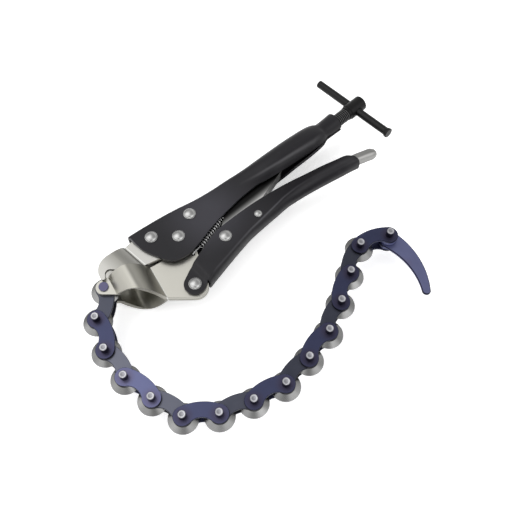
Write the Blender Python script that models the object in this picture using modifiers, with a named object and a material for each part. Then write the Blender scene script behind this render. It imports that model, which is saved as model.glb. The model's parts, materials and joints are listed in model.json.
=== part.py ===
"""Exhaust pipe cutter: locking pliers with a chain of cutting wheels, laid out flat."""

import math

import bmesh
import bpy
import numpy as np
from mathutils import Matrix, Vector

# Driving sizes, metres. Plan shapes of the pliers are shares of linkage_base.
linkage_base = 0.100
tool_heading = math.radians(42.6)
pitch = 0.022
running_gap = 0.0003
overrun = 0.004

# Plate stacks, from the middle plane outwards
wheel_hub_half = 0.0027
link_plate = 0.0016
jaw_plate = 0.0024
jaw_split_half = 0.00015
handle_wall = 0.0016
hook_half = 0.0010
toggle_wall = 0.0016
lever_wall = 0.0012

# Chain
pin_radius = 0.0025
pin_half_length = 0.01175
pin_chamfer = 0.0005
bush_wall = 0.0008
link_boss_radius = 0.0060
link_crown = 0.0082
link_waist = 0.0014
wheel_radius = 0.0096
wheel_hub_radius = 0.0048
wheel_edge_half = 0.0002
spacer_radius = 0.0058
hook_boss_radius = 0.0070
hook_tip_radius = 0.0029
hook_reach = 0.0447
hook_crown = 0.0104
hook_waist = -0.0004

# Jaws
jaw_boss_radius = 0.0085
tab_radius = 0.0053
front_boss_radius = 0.0089
tunnel_width = 0.0274
tunnel_crown = 0.0176
tunnel_power = 1.9
crease_heading = math.radians(-102.2)
fixed_boss_radius = 0.0090
rear_boss_radius = 0.0070
front_rivet_boss = 0.0085
hook_slot_radius = 0.0031
hook_outer_radius = 0.0117
beak_radius = 0.0013
fixed_rise_width = 0.0100
fixed_crease_heading = math.radians(-84.6)
corner_radius = 0.0006
spring_hole_radius = 0.0013

# Rivets and pins
rivet_radius = 0.0025
rivet_head_radius = 0.0046
rivet_head_height = 0.0021
rivet_edge = 0.0004
dome_angles = (math.radians(35), math.radians(62))
small_rivet_radius = 0.0016
small_head_radius = 0.0028
small_head_height = 0.0014
rivet_fit = 0.0002
anchor_head_radius = 0.0032
anchor_head_height = 0.0011

# Adjusting screw and its cross bar
screw_radius = 0.0049
screw_tip_radius = 0.0026
screw_tip_length = 0.0030
nose_gap = 0.0010
thread_showing = 0.0120
barrel_radius = 0.0060
barrel_length = 0.0180
barrel_chamfer = 0.0009
barrel_step_radius = 0.0053
barrel_step_length = 0.0022
bar_radius = 0.0028
bar_length = 0.0715
bar_flare_radius = 0.0038
bar_flare_length = 0.0026
bar_chamfer = 0.0005
bar_tilt = math.radians(-4.6)
collar_neck_radius = 0.0069
collar_end_radius = 0.0071
collar_slot = math.radians(9)

# Toggle link and release lever
toggle_half_width = 0.0046
toggle_edge = 0.0074
toggle_heel_radius = 0.0054
toggle_shoulder_radius = 0.0085
toggle_neck_radius = 0.0070
lever_half_width = 0.0045

# Spring
spring_wire_radius = 0.00042
spring_coil_radius = 0.0018
spring_pitch = 0.0016
spring_coils = 21
curl_points = 8
spring_eye_radius = 0.0021
lug_thickness = 0.0016
lug_half_width = 0.0010
spring_hook_share = 0.9
eye_start = math.radians(-160)
eye_step = math.radians(45)
eye_points = 7

# Pivots in the pliers' plan, as shares of linkage_base. The jaw pivot is the origin.
front_pivot_share = (-0.141, -0.337)
screw_line_share = -0.006
handle_link_share = 0.3988
front_rivet_share = (-0.142, 0.118)
rear_rivet_share = (0.167, 0.084)
release_rivet_share = (0.519, -0.232)
anchor_share = (-0.600, 0.036)
collar_end_share = 1.515
spring_hole_share = (-0.005, -0.152)
spring_start_share = (0.075, -0.136)
spring_slope_share = 0.290
lug_share = (0.520, 0.010)
lug_top_share = 0.165
toggle_shoulder_share = (0.240, 0.070)
toggle_neck_share = (0.090, 0.150)

# Outlines in plan, as shares of linkage_base
tunnel_rear_shares = ((-0.281, -0.035), (-0.538, 0.074))
tunnel_crease_share = (-0.552, 0.0065)
fixed_lower_shares = ((-0.464, 0.064), (-0.310, -0.001), (-0.197, -0.038))
fixed_top_share = (-0.323, 0.184)
hook_centre_share = (-0.465, 0.075)
beak_share = (-0.568, 0.076)
slot_share = (-0.516, 0.074)
fixed_crease_share = (-0.307, 0.002)

# Upper handle sections: along, top, widest, open edge, then half widths there
# as shares of the half width at the jaw.
upper_handle_shares = (
    (-0.256, 0.247, 0.215, 0.170, 1.00, 1.00),
    (-0.248, 0.249, 0.216, 0.095, 1.00, 1.00),
    (-0.228, 0.249, 0.216, 0.026, 1.00, 1.00),
    (-0.205, 0.248, 0.215, -0.028, 1.00, 1.00),
    (-0.184, 0.247, 0.214, -0.082, 1.00, 1.00),
    (-0.152, 0.245, 0.212, -0.125, 1.00, 1.00),
    (-0.105, 0.242, 0.209, -0.154, 1.00, 1.00),
    (-0.030, 0.237, 0.204, -0.166, 1.00, 1.00),
    (0.040, 0.229, 0.196, -0.150, 1.00, 1.00),
    (0.140, 0.213, 0.180, -0.112, 1.00, 1.00),
    (0.260, 0.192, 0.156, -0.068, 1.00, 1.00),
    (0.400, 0.180, 0.138, -0.030, 1.00, 1.00),
    (0.550, 0.170, 0.118, -0.008, 1.03, 1.02),
    (0.660, 0.161, 0.090, -0.020, 1.10, 1.06),
    (0.740, 0.155, 0.068, -0.055, 1.20, 1.00),
    (0.820, 0.151, 0.052, -0.072, 1.32, 0.94),
    (0.930, 0.144, 0.040, -0.078, 1.42, 0.88),
    (1.060, 0.134, 0.030, -0.086, 1.45, 0.70),
    (1.180, 0.119, 0.020, -0.093, 1.42, 0.58),
    (1.270, 0.104, 0.008, -0.092, 1.32, 0.48),
    (1.330, 0.088, 0.000, -0.086, 1.16, 0.36),
)
upper_corner_power = 2.6
lip_turn = math.radians(60)
collar_neck_share = 1.372

# Lower handle sections: along, open edge, crest, spine, half width as a share of
# the half width behind the front lobes.
lobe_front_shares = ((-0.214, 0.022), (-0.204, 0.041), (-0.188, 0.058), (-0.165, 0.071))
lower_handle_shares = (
    (-0.135, -0.252, -0.409, -0.409, 0.0),
    (-0.105, -0.233, -0.402, -0.402, 0.0),
    (-0.080, -0.219, -0.384, -0.384, 0.05),
    (-0.062, -0.209, -0.372, -0.402, 0.5),
    (-0.040, -0.199, -0.366, -0.396, 0.98),
    (0.040, -0.172, -0.349, -0.377, 1.0),
    (0.140, -0.144, -0.326, -0.353, 1.0),
    (0.260, -0.125, -0.298, -0.327, 1.0),
    (0.400, -0.122, -0.265, -0.301, 1.0),
    (0.530, -0.132, -0.236, -0.281, 1.0),
    (0.630, -0.149, -0.218, -0.272, 1.01),
    (0.740, -0.166, -0.217, -0.270, 1.03),
    (0.860, -0.180, -0.240, -0.288, 1.05),
    (0.980, -0.194, -0.264, -0.310, 1.07),
    (1.120, -0.226, -0.294, -0.340, 1.09),
    (1.240, -0.266, -0.320, -0.367, 1.10),
    (1.320, -0.298, -0.342, -0.386, 1.09),
    (1.365, -0.345, -0.368, -0.397, 1.04),
)
first_spine_station = 3
spine_power = 2.2
lever_power = 2.0

# Release lever sections: along, open edge, shoulder, spine, half width share
release_lever_shares = (
    (0.489, -0.214, -0.232, -0.252, 1.0),
    (0.519, -0.205, -0.234, -0.258, 1.0),
    (0.570, -0.192, -0.228, -0.252, 1.0),
    (0.610, -0.184, -0.222, -0.249, 1.0),
    (0.700, -0.196, -0.222, -0.246, 1.0),
    (0.850, -0.212, -0.238, -0.264, 1.0),
    (1.000, -0.236, -0.262, -0.290, 1.02),
    (1.150, -0.262, -0.296, -0.324, 1.04),
    (1.280, -0.282, -0.326, -0.354, 1.06),
    (1.370, -0.296, -0.338, -0.376, 1.08),
    (1.400, -0.301, -0.336, -0.392, 1.10),
    (1.450, -0.312, -0.340, -0.410, 1.11),
    (1.505, -0.332, -0.358, -0.426, 1.11),
    (1.530, -0.360, -0.380, -0.422, 0.90),
)

# Chain as laid out: turn at each pin from the link before, degrees
anchor_turn = math.radians(-139.6)
link_turns = tuple(
    math.radians(turn)
    for turn in (27.3, 18.0, 15.1, 6.8, 33.6, 17.6, 6.5, 19.9, 5.5, 13.2, 4.1, -1.5, -47.4)
)
hook_turn = math.radians(-82.3)

# Counts
wheel_steps = 20
pin_steps = 10
rivet_steps = 12
turned_steps = 16
arc_step = math.radians(26)
section_points = 5
tunnel_samples = 16
rise_samples = (0.06, 0.18, 0.34, 0.55, 0.8, 1.0)
merge_distance = 0.000001
straight_limit = 0.000000001

# Levels worked out from the stacks
inner_plate_low = wheel_hub_half + running_gap
inner_plate_high = inner_plate_low + link_plate
outer_plate_low = inner_plate_high + running_gap
outer_plate_high = outer_plate_low + link_plate
movable_high = jaw_split_half + jaw_plate
fixed_low = movable_high + running_gap
fixed_high = fixed_low + jaw_plate
tab_high = outer_plate_low + jaw_plate
hook_plate_high = tab_high + running_gap + jaw_plate
handle_half = fixed_high + running_gap + handle_wall
lobe_half = movable_high + running_gap + handle_wall
lower_half = toggle_half_width + running_gap + handle_wall
bush_bore = pin_radius + running_gap
bush_radius = bush_bore + bush_wall
wheel_bore = bush_radius + running_gap

materials = {
    "satin_nickel": ((0.63, 0.61, 0.56), 0.34, 1.0),
    "black_satin_coat": ((0.028, 0.029, 0.034), 0.42, 0.0),
    "black_oxide_steel": ((0.045, 0.045, 0.048), 0.48, 0.7),
    "blued_steel": ((0.16, 0.16, 0.27), 0.38, 0.9),
    "ground_steel": ((0.60, 0.60, 0.60), 0.26, 1.0),
    "bright_rivet": ((0.74, 0.73, 0.70), 0.24, 1.0),
    "spring_steel": ((0.10, 0.10, 0.11), 0.35, 0.9),
}


def plan(share):
    """A place in the pliers' plan from its shares of linkage_base."""
    return np.array(share) * linkage_base


def make_material(name):
    colour, roughness, metallic = materials[name]
    made = bpy.data.materials.new(name)
    made.use_nodes = True
    shader = made.node_tree.nodes["Principled BSDF"]
    shader.inputs["Base Color"].default_value = (*colour, 1.0)
    shader.inputs["Roughness"].default_value = roughness
    shader.inputs["Metallic"].default_value = metallic
    return made


def start_scene():
    for old in list(bpy.data.objects):
        bpy.data.objects.remove(old, do_unlink=True)
    for name in ("exhaust_pipe_cutter", "cutters"):
        made = bpy.data.collections.new(name)
        bpy.context.scene.collection.children.link(made)
    for name in materials:
        make_material(name)


def new_object(name, mesh, material=None, helper=False):
    made = bpy.data.objects.new(name, mesh)
    where = "cutters" if helper else "exhaust_pipe_cutter"
    bpy.data.collections[where].objects.link(made)
    if helper:
        made.hide_render = True
        made.display_type = "WIRE"
    if material:
        made.data.materials.append(bpy.data.materials[material])
    return made


def smooth(made, degrees=35):
    made.data.shade_smooth()
    made.data.set_sharp_from_angle(angle=math.radians(degrees))


def from_bmesh(name, shape, material=None, helper=False):
    mesh = bpy.data.meshes.new(name)
    shape.to_mesh(mesh)
    shape.free()
    return new_object(name, mesh, material, helper)


def modify(made, kind, **settings):
    modifier = made.modifiers.new(kind.lower(), kind)
    for key, value in settings.items():
        setattr(modifier, key, value)
    return modifier


def boolean(made, other, operation="DIFFERENCE"):
    modify(made, "BOOLEAN", operation=operation, object=other, solver="EXACT")


def baked_mesh(made, name):
    """The evaluated mesh of an object, which is then removed with its modifiers."""
    bpy.context.view_layer.update()
    graph = bpy.context.evaluated_depsgraph_get()
    mesh = bpy.data.meshes.new_from_object(made.evaluated_get(graph))
    mesh.name = name
    bpy.data.objects.remove(made, do_unlink=True)
    return mesh


def hang(made, parent, place=(0, 0), turn=0.0, height=0.0):
    made.parent = parent
    made.location = (place[0], place[1], height)
    made.rotation_euler = (0, 0, turn)
    return made


def empty(name, parent, place=(0, 0), turn=0.0, height=0.0):
    made = bpy.data.objects.new(name, None)
    bpy.data.collections["exhaust_pipe_cutter"].objects.link(made)
    return hang(made, parent, place, turn, height)


def belt(circles, step=arc_step):
    """Outline round circles (x, y, radius) taken anticlockwise. A negative radius is
    rounded inwards, and a radius of zero is a sharp corner."""
    count = len(circles)
    leaving = []
    for index, (x, y, radius) in enumerate(circles):
        next_x, next_y, next_radius = circles[(index + 1) % count]
        span = math.hypot(next_x - x, next_y - y)
        share = max(-1.0, min(1.0, (radius - next_radius) / span))
        leaving.append(math.atan2(next_y - y, next_x - x) - math.acos(share))
    points = []
    for index, (x, y, radius) in enumerate(circles):
        if radius == 0:
            points.append((x, y))
            continue
        start = leaving[index - 1]
        sweep = (leaving[index] - start) % (2 * math.pi)
        if radius < 0:
            sweep -= 2 * math.pi
        parts = max(1, math.ceil(abs(sweep) / step - 0.01))
        for part in range(parts + 1):
            angle = start + sweep * part / parts
            points.append((x + radius * math.cos(angle), y + radius * math.sin(angle)))
    return points


def side_arc(length, near, far):
    """Centre of a circle tangent to two end circles. near and far are what the height
    of its middle has over the radius of the first and of the second."""
    lead = 1 - far / near
    rest = length * length - far * far + near * far
    if abs(lead) < straight_limit:
        along = rest / (2 * length)
    else:
        along = (length - math.sqrt(length * length - lead * rest)) / lead
    return along, (near * near - along * along) / (2 * near)


def crescent(length, first, second, crown, waist):
    """Link outline: round bosses, a bulging left side and a hollow right side."""
    left_x, left_y = side_arc(length, crown - first, crown - second)
    right_x, right_y = side_arc(length, first - waist, second - waist)
    return belt(
        [
            (0, 0, first),
            (right_x, right_y, waist + right_y),
            (length, 0, second),
            (left_x, left_y, crown - left_y),
        ]
    )


def flat_plate(name, outline, low, high, material=None, helper=False):
    """A flat outline filled and extruded from low to high."""
    shape = bmesh.new()
    rim = [shape.verts.new((x, y, low)) for x, y in outline]
    shape.faces.new(rim)
    grown = bmesh.ops.extrude_face_region(shape, geom=list(shape.faces))
    lifted = [item for item in grown["geom"] if isinstance(item, bmesh.types.BMVert)]
    bmesh.ops.translate(shape, verts=lifted, vec=(0, 0, high - low))
    bmesh.ops.recalc_face_normals(shape, faces=shape.faces)
    return from_bmesh(name, shape, material, helper)


def rod(name, radius, low, high, steps=pin_steps, material=None, helper=True):
    shape = bmesh.new()
    bmesh.ops.create_cone(
        shape,
        cap_ends=True,
        segments=steps,
        radius1=radius,
        radius2=radius,
        depth=high - low,
        matrix=Matrix.Translation((0, 0, (high + low) / 2)),
    )
    return from_bmesh(name, shape, material, helper)


def turned(name, profile, steps, material=None, closed=False, helper=False):
    """A profile of (radius, height), top to bottom on its outer side, turned about Z."""
    mesh = bpy.data.meshes.new(name)
    edges = [(index, index + 1) for index in range(len(profile) - 1)]
    if closed:
        edges.append((len(profile) - 1, 0))
    mesh.from_pydata([(radius, 0, height) for radius, height in profile], edges, [])
    made = new_object(name, mesh, material, helper)
    modify(
        made,
        "SCREW",
        steps=steps,
        render_steps=steps,
        use_merge_vertices=True,
        merge_threshold=merge_distance,
        use_smooth_shade=True,
    )
    return made


def domed(radius, head_radius, low, head_height, edge):
    """Half profile of a domed head from its crown to the shank."""
    dome = head_height - edge
    points = [(0, low + head_height)]
    for angle in dome_angles:
        points.append((head_radius * math.sin(angle), low + edge + dome * math.cos(angle)))
    return points + [(head_radius, low + edge), (head_radius, low), (radius, low)]


def rivet(name, place, half, parent, radius, head_radius, head_height):
    top = domed(radius, head_radius, half + running_gap / 2, head_height, rivet_edge)
    bottom = [(along, -height) for along, height in reversed(top)]
    made = turned(name, top + bottom, rivet_steps, "bright_rivet")
    return hang(made, parent, place)


def section_grid(name, rings, material, wall, skip=None):
    """Open surface through rings of points, thickened inwards."""
    shape = bmesh.new()
    rows = [[shape.verts.new(point) for point in ring] for ring in rings]
    for index in range(len(rows) - 1):
        for place in range(len(rows[index]) - 1):
            if skip and skip(index, place):
                continue
            shape.faces.new(
                (
                    rows[index][place],
                    rows[index + 1][place],
                    rows[index + 1][place + 1],
                    rows[index][place + 1],
                )
            )
    loose = [vert for vert in shape.verts if not vert.link_faces]
    bmesh.ops.delete(shape, geom=loose, context="VERTS")
    bmesh.ops.remove_doubles(shape, verts=shape.verts, dist=merge_distance)
    made = from_bmesh(name, shape, material)
    modify(
        made,
        "SOLIDIFY",
        thickness=wall,
        offset=-1,
        use_even_offset=True,
        use_rim=True,
    )
    return made


def quarter(power, count):
    """Even steps round a quarter of a superellipse, from its side to its top."""
    steps = []
    for index in range(1, count + 1):
        angle = math.pi / 2 * index / count
        steps.append((math.cos(angle) ** (2 / power), math.sin(angle) ** (2 / power)))
    return steps


def upper_section(along, top, widest, edge, half, lip):
    """Section of the upper handle, from one open edge over the top to the other."""
    low = (edge + widest) / 2
    side = [(edge, lip), (low, lip + (half - lip) * math.sin(lip_turn)), (widest, half)]
    for across, rise in quarter(upper_corner_power, section_points):
        side.append((widest + (top - widest) * rise, half * across))
    left = [(along, height, across) for height, across in side]
    right = [(along, height, -across) for height, across in side[-2::-1]]
    return left + right


def collar_section(along, centre, radius, slot):
    """Nearly closed round section with the points of upper_section."""
    count = section_points + 2
    ring = []
    for index in range(count * 2 + 1):
        angle = slot + (2 * math.pi - 2 * slot) * index / (2 * count)
        ring.append(
            (along, centre - radius * math.cos(angle), radius * math.sin(angle))
        )
    return ring


def channel_section(along, edge, shoulder, spine, half, power=spine_power):
    """Section of a channel that is open above, from edge to edge round its spine."""
    middle = (edge + shoulder) / 2
    side = [(edge, half), (middle, half), (shoulder, half)]
    for across, rise in quarter(power, section_points):
        side.append((shoulder + (spine - shoulder) * rise, half * across))
    left = [(along, height, across) for height, across in side]
    right = [(along, height, -across) for height, across in side[-2::-1]]
    return right[::-1] + left[::-1][1:]


def make_upper_handle(frame, holes):
    rings = []
    for along, top, widest, edge, half, lip in upper_handle_shares:
        x, high, wide, low = plan((along, top, widest, edge))
        rings.append(upper_section(x, high, wide, low, half * handle_half, lip * handle_half))
    centre = screw_line_share * linkage_base
    neck = collar_neck_share * linkage_base
    end = collar_end_share * linkage_base
    rings.append(collar_section(neck, centre, collar_neck_radius, collar_slot * 2))
    rings.append(collar_section((neck * 2 + end) / 3, centre, collar_neck_radius, collar_slot))
    rings.append(collar_section(end, centre, collar_end_radius, collar_slot))
    made = section_grid("upper_handle", rings, "black_satin_coat", handle_wall)
    smooth(made, 50)
    hang(made, frame)
    x, low = plan(lug_share)
    high = lug_top_share * linkage_base
    left, right = x - lug_thickness / 2, x + lug_thickness / 2
    corners = [(left, low), (right, low), (right, high), (left, high)]
    lug = flat_plate("spring_lug", corners, -lug_half_width, lug_half_width, helper=True)
    boolean(made, hang(lug, frame), "UNION")
    for name in ("front", "pivot", "rear"):
        boolean(made, holes[name])
    return made


def fixed_jaw_outline():
    front = plan(front_rivet_share)
    rear = plan(rear_rivet_share)
    corners = [(*plan(share), 0) for share in fixed_lower_shares]
    return belt(
        [
            corners[0],
            (*corners[1][:2], corner_radius),
            corners[2],
            (0, 0, fixed_boss_radius),
            (*rear, rear_boss_radius),
            (*front, front_rivet_boss),
            (*plan(fixed_top_share), 0),
            (*plan(hook_centre_share), hook_outer_radius),
            (*plan(beak_share), beak_radius),
            (*plan(slot_share), -hook_slot_radius),
        ]
    )


def movable_jaw_outline():
    crease_low, crease_high = (plan(share) for share in tunnel_rear_shares)
    return belt(
        [
            (*plan(anchor_share), tab_radius),
            (*plan(front_pivot_share), front_boss_radius),
            (0, 0, jaw_boss_radius),
            (*crease_low, 0),
            (*crease_high, 0),
        ]
    )


def bent_plate(name, outline, side, origin, heading, lines, level, material):
    """A sheet cut to outline and bent along lines parallel to heading. level gives its
    outer height at a distance across the bends. side is 1 above and -1 below."""
    across = Vector((-math.sin(heading), math.cos(heading), 0))
    start = Vector((*origin, 0))
    shape = bmesh.new()
    shape.faces.new([shape.verts.new((x, y, 0)) for x, y in outline])
    for line in lines:
        bmesh.ops.bisect_plane(
            shape,
            geom=list(shape.verts) + list(shape.edges) + list(shape.faces),
            dist=merge_distance,
            plane_co=start + across * line,
            plane_no=across,
        )
    for vert in shape.verts:
        vert.co.z = side * level((vert.co - start).dot(across))
    bmesh.ops.recalc_face_normals(shape, faces=shape.faces)
    up = sum(face.normal.z * face.calc_area() for face in shape.faces)
    if up * side < 0:
        bmesh.ops.reverse_faces(shape, faces=shape.faces)
    made = from_bmesh(name, shape, material)
    modify(
        made,
        "SOLIDIFY",
        thickness=jaw_plate,
        offset=-1,
        solidify_mode="NON_MANIFOLD",
        nonmanifold_thickness_mode="CONSTRAINTS",
    )
    smooth(made, 40)
    return made


def tunnel_level(distance):
    """Outer height of the movable jaw across its tunnel, tab side first."""
    share = max(0.0, min(1.0, distance / tunnel_width))
    base = tab_high + (movable_high - tab_high) * share
    rise = tunnel_crown - (tab_high + movable_high) / 2 + running_gap
    bulge = rise * (1 - abs(2 * share - 1) ** tunnel_power)
    return min(base + bulge, tunnel_crown)


def hook_level(distance):
    """Outer height of the fixed jaw: flat at the handle, raised towards its hook."""
    share = max(0.0, min(1.0, -distance / fixed_rise_width))
    return fixed_high + (hook_plate_high - fixed_high) * math.sqrt(1 - (1 - share) ** 2)


def make_fixed_jaws(frame, holes):
    lines = [0] + [-share * fixed_rise_width for share in rise_samples]
    made = []
    for name, side in (("fixed_jaw_upper", 1), ("fixed_jaw_lower", -1)):
        jaw = bent_plate(
            name,
            fixed_jaw_outline(),
            side,
            plan(fixed_crease_share),
            fixed_crease_heading,
            lines,
            hook_level,
            "satin_nickel",
        )
        for hole in ("front", "pivot", "rear"):
            boolean(jaw, holes[hole])
        made.append(hang(jaw, frame))
    return made


def make_movable_jaws(axis, holes):
    lines = [tunnel_width * index / tunnel_samples for index in range(tunnel_samples + 1)]
    made = []
    for name, side in (("movable_jaw_upper", 1), ("movable_jaw_lower", -1)):
        jaw = bent_plate(
            name,
            movable_jaw_outline(),
            side,
            plan(tunnel_crease_share),
            crease_heading,
            lines,
            tunnel_level,
            "satin_nickel",
        )
        for hole in ("pivot", "handle", "anchor", "spring"):
            boolean(jaw, holes[hole])
        made.append(hang(jaw, axis))
    return made


def make_lower_handle(axis, holes):
    front = plan(front_pivot_share)
    rings = []
    for along, chord in lobe_front_shares:
        x = along * linkage_base
        high, low = front[1] + chord * linkage_base, front[1] - chord * linkage_base
        rings.append(channel_section(x, high, low, low, lobe_half))
    for along, edge, crest, spine, share in lower_handle_shares:
        x, high, shoulder, low = plan((along, edge, crest, spine))
        half = lobe_half + (lower_half - lobe_half) * share
        rings.append(channel_section(x, high, shoulder, low, half))
    rings = [[(x - front[0], y - front[1], z) for x, y, z in ring] for ring in rings]
    open_rings = len(lobe_front_shares) + first_spine_station
    last = len(rings[0]) - 1

    def skip(index, place):
        return index < open_rings and 2 <= place < last - 2

    made = section_grid("lower_handle", rings, "black_satin_coat", handle_wall, skip)
    smooth(made, 50)
    for hole in ("handle", "toggle", "release"):
        boolean(made, holes[hole])
    return hang(made, axis)


def make_toggle(axis, length, holes):
    """Channel with its web below and round the nose, open above and behind its pivot.
    Its arched upper side reaches under the upper handle."""
    shoulder = plan(toggle_shoulder_share)
    outer = belt(
        [
            (0, 0, toggle_heel_radius),
            (length, 0, toggle_edge),
            (*shoulder, toggle_shoulder_radius),
            (*plan(toggle_neck_share), -toggle_neck_radius),
        ]
    )
    made = flat_plate("toggle_link", outer, -toggle_half_width, toggle_half_width, "satin_nickel")
    inside = toggle_edge - toggle_wall
    heel_inside = toggle_heel_radius - toggle_wall
    rear = -toggle_edge - overrun
    top = shoulder[1] + toggle_shoulder_radius + overrun
    hollow = [(rear, -heel_inside), (0, -heel_inside), (length, -inside)]
    for index in range(1, 6):
        angle = arc_step * index - math.pi / 2
        hollow.append((length + inside * math.cos(angle), inside * math.sin(angle)))
    hollow += [(length - inside, toggle_edge + overrun), (length - inside, top), (rear, top)]
    deep = toggle_half_width - toggle_wall
    cutter = hang(flat_plate("toggle_hollow", hollow, -deep, deep, helper=True), axis)
    boolean(made, cutter)
    boolean(made, holes["toggle"])
    smooth(made, 30)
    return hang(made, axis)


def make_release_lever(axis, holes):
    pivot = plan(release_rivet_share)
    rings = []
    for along, edge, shoulder, spine, share in release_lever_shares:
        x, high, middle, low = plan((along, edge, shoulder, spine))
        ring = channel_section(x, high, middle, low, lever_half_width * share, lever_power)
        rings.append([(px - pivot[0], py - pivot[1], pz) for px, py, pz in ring])
    made = section_grid("release_lever", rings, "satin_nickel", lever_wall)
    smooth(made, 50)
    boolean(made, holes["release"])
    return hang(made, axis)


def make_screw(frame, nose_x):
    """Threaded rod, its barrel head and the sliding cross bar."""
    line = screw_line_share * linkage_base
    tip = nose_x + toggle_edge + nose_gap
    head = collar_end_share * linkage_base + thread_showing
    slide = empty("screw_axis", frame, (tip, line))
    slide.rotation_euler = (0, math.radians(90), 0)
    length = head - tip
    profile = [
        (0, length),
        (screw_radius, length),
        (screw_radius, screw_tip_length),
        (screw_tip_radius, 0),
        (0, 0),
    ]
    made = turned("adjusting_screw", profile, turned_steps, "black_oxide_steel")
    hang(made, slide)
    turn = empty("head_axis", slide)
    turn.location = (0, 0, length)
    turn.rotation_euler = (0, 0, bar_tilt)
    low = running_gap
    barrel = [
        (0, low + barrel_length),
        (barrel_radius - barrel_chamfer, low + barrel_length),
        (barrel_radius, low + barrel_length - barrel_chamfer),
        (barrel_radius, low + barrel_step_length),
        (barrel_step_radius, low + barrel_step_length),
        (barrel_step_radius, low),
        (0, low),
    ]
    head_made = turned("screw_head", barrel, turned_steps, "black_oxide_steel")
    hang(head_made, turn)
    cross = rod("bar_hole", bar_radius + running_gap, -barrel_radius - overrun, barrel_radius + overrun)
    cross.parent = turn
    cross.location = (0, 0, low + barrel_length / 2)
    cross.rotation_euler = (math.radians(90), 0, 0)
    boolean(head_made, cross)
    half = bar_length / 2
    bar = [
        (0, half),
        (bar_flare_radius, half),
        (bar_flare_radius, half - bar_flare_length / 3),
        (bar_radius, half - bar_flare_length),
        (bar_radius, -half + bar_chamfer),
        (bar_radius - bar_chamfer, -half),
        (0, -half),
    ]
    bar_made = turned("tommy_bar", bar, pin_steps, "black_oxide_steel")
    bar_made.parent = turn
    bar_made.location = (0, 0, low + barrel_length / 2)
    bar_made.rotation_euler = (math.radians(90), 0, 0)
    return slide, turn


def make_spring(axis):
    """Tension spring: hook through the jaw plates, coils, and an eye round the lug."""
    hole = plan(spring_hole_share)
    start = plan(spring_start_share)
    lug = plan(lug_share)
    slope = math.atan(spring_slope_share)
    along = np.array((math.cos(slope), math.sin(slope), 0))
    side = np.array((-math.sin(slope), math.cos(slope), 0))
    up = np.array((0, 0, 1.0))
    first = np.array((*start, 0))
    over = movable_high + spring_wire_radius + running_gap / 2
    hook = np.array((*hole, 0))
    straight = spring_wire_radius * 2
    points = [hook - up * over, hook + up * (over - straight)]
    points.append(hook + up * over + along * straight)
    points.append(first + up * over * spring_hook_share - along * spring_pitch)
    for index in range(spring_coils * curl_points + 1):
        turn = 2 * math.pi * index / curl_points
        centre = first + along * spring_pitch * index / curl_points
        ring = (up * math.cos(turn) + side * math.sin(turn)) * spring_coil_radius
        points.append(centre + ring)
    eye = np.array((lug[0], lug[1] + spring_coil_radius * 2, 0))
    for index in range(eye_points):
        turn = eye_start + eye_step * index
        ring = np.array((math.cos(turn), 0, -math.sin(turn))) * spring_eye_radius
        points.append(eye + ring)
    curve = bpy.data.curves.new("tension_spring", "CURVE")
    curve.dimensions = "3D"
    curve.bevel_depth = spring_wire_radius
    curve.bevel_resolution = 1
    curve.use_fill_caps = True
    spline = curve.splines.new("POLY")
    spline.points.add(len(points) - 1)
    for item, point in zip(spline.points, points):
        item.co = (*point, 1.0)
    made = new_object("tension_spring", curve, "spring_steel")
    print("Spring: least gap between curls", round(self_gap(np.array(points)) * 1000, 3), "mm")
    return hang(made, axis)


def self_gap(points):
    """Least clear distance between stretches of the wire that aren't neighbours."""
    dense = [points[0]]
    for start, end in zip(points[:-1], points[1:]):
        parts = 6
        dense += [start + (end - start) * part / parts for part in range(1, parts + 1)]
    dense = np.array(dense)
    travel = np.concatenate(
        [[0], np.cumsum(np.linalg.norm(np.diff(dense, axis=0), axis=1))]
    )
    apart = np.linalg.norm(dense[:, None] - dense[None], axis=2)
    far = np.abs(travel[:, None] - travel[None]) > spring_coil_radius * 2.5
    return apart[far].min() - 2 * spring_wire_radius


def link_meshes():
    """One mesh for all inner links and one for all outer links."""
    outline = crescent(pitch, link_boss_radius, link_boss_radius, link_crown, link_waist)
    inner = flat_plate("inner", outline, inner_plate_low, inner_plate_high, "blued_steel")
    mate = flat_plate("inner_mate", outline, -inner_plate_high, -inner_plate_low, helper=True)
    boolean(inner, mate, "UNION")
    helpers = [mate]
    middle = (inner_plate_low + inner_plate_high) / 2
    for index in range(2):
        bush = rod("bush", bush_radius, -middle, middle)
        bush.location.x = pitch * index
        boolean(inner, bush, "UNION")
        helpers.append(bush)
    for index in range(2):
        bore = rod("bush_bore", bush_bore, -inner_plate_high - overrun, inner_plate_high + overrun)
        bore.location.x = pitch * index
        boolean(inner, bore)
        helpers.append(bore)
    inner_mesh = baked_mesh(inner, "inner_link")
    outer = flat_plate("outer", outline, outer_plate_low, outer_plate_high, "blued_steel")
    mate = flat_plate("outer_mate", outline, -outer_plate_high, -outer_plate_low, helper=True)
    boolean(outer, mate, "UNION")
    helpers.append(mate)
    profile = [
        (0, pin_half_length),
        (pin_radius - pin_chamfer, pin_half_length),
        (pin_radius, pin_half_length - pin_chamfer),
        (pin_radius, -pin_half_length + pin_chamfer),
        (pin_radius - pin_chamfer, -pin_half_length),
        (0, -pin_half_length),
    ]
    for index in range(2):
        pin = turned("long_pin", profile, pin_steps, helper=True)
        pin.location.x = pitch * index
        boolean(outer, pin, "UNION")
        helpers.append(pin)
    outer_mesh = baked_mesh(outer, "outer_link")
    for helper in helpers:
        bpy.data.objects.remove(helper, do_unlink=True)
    return inner_mesh, outer_mesh


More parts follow.
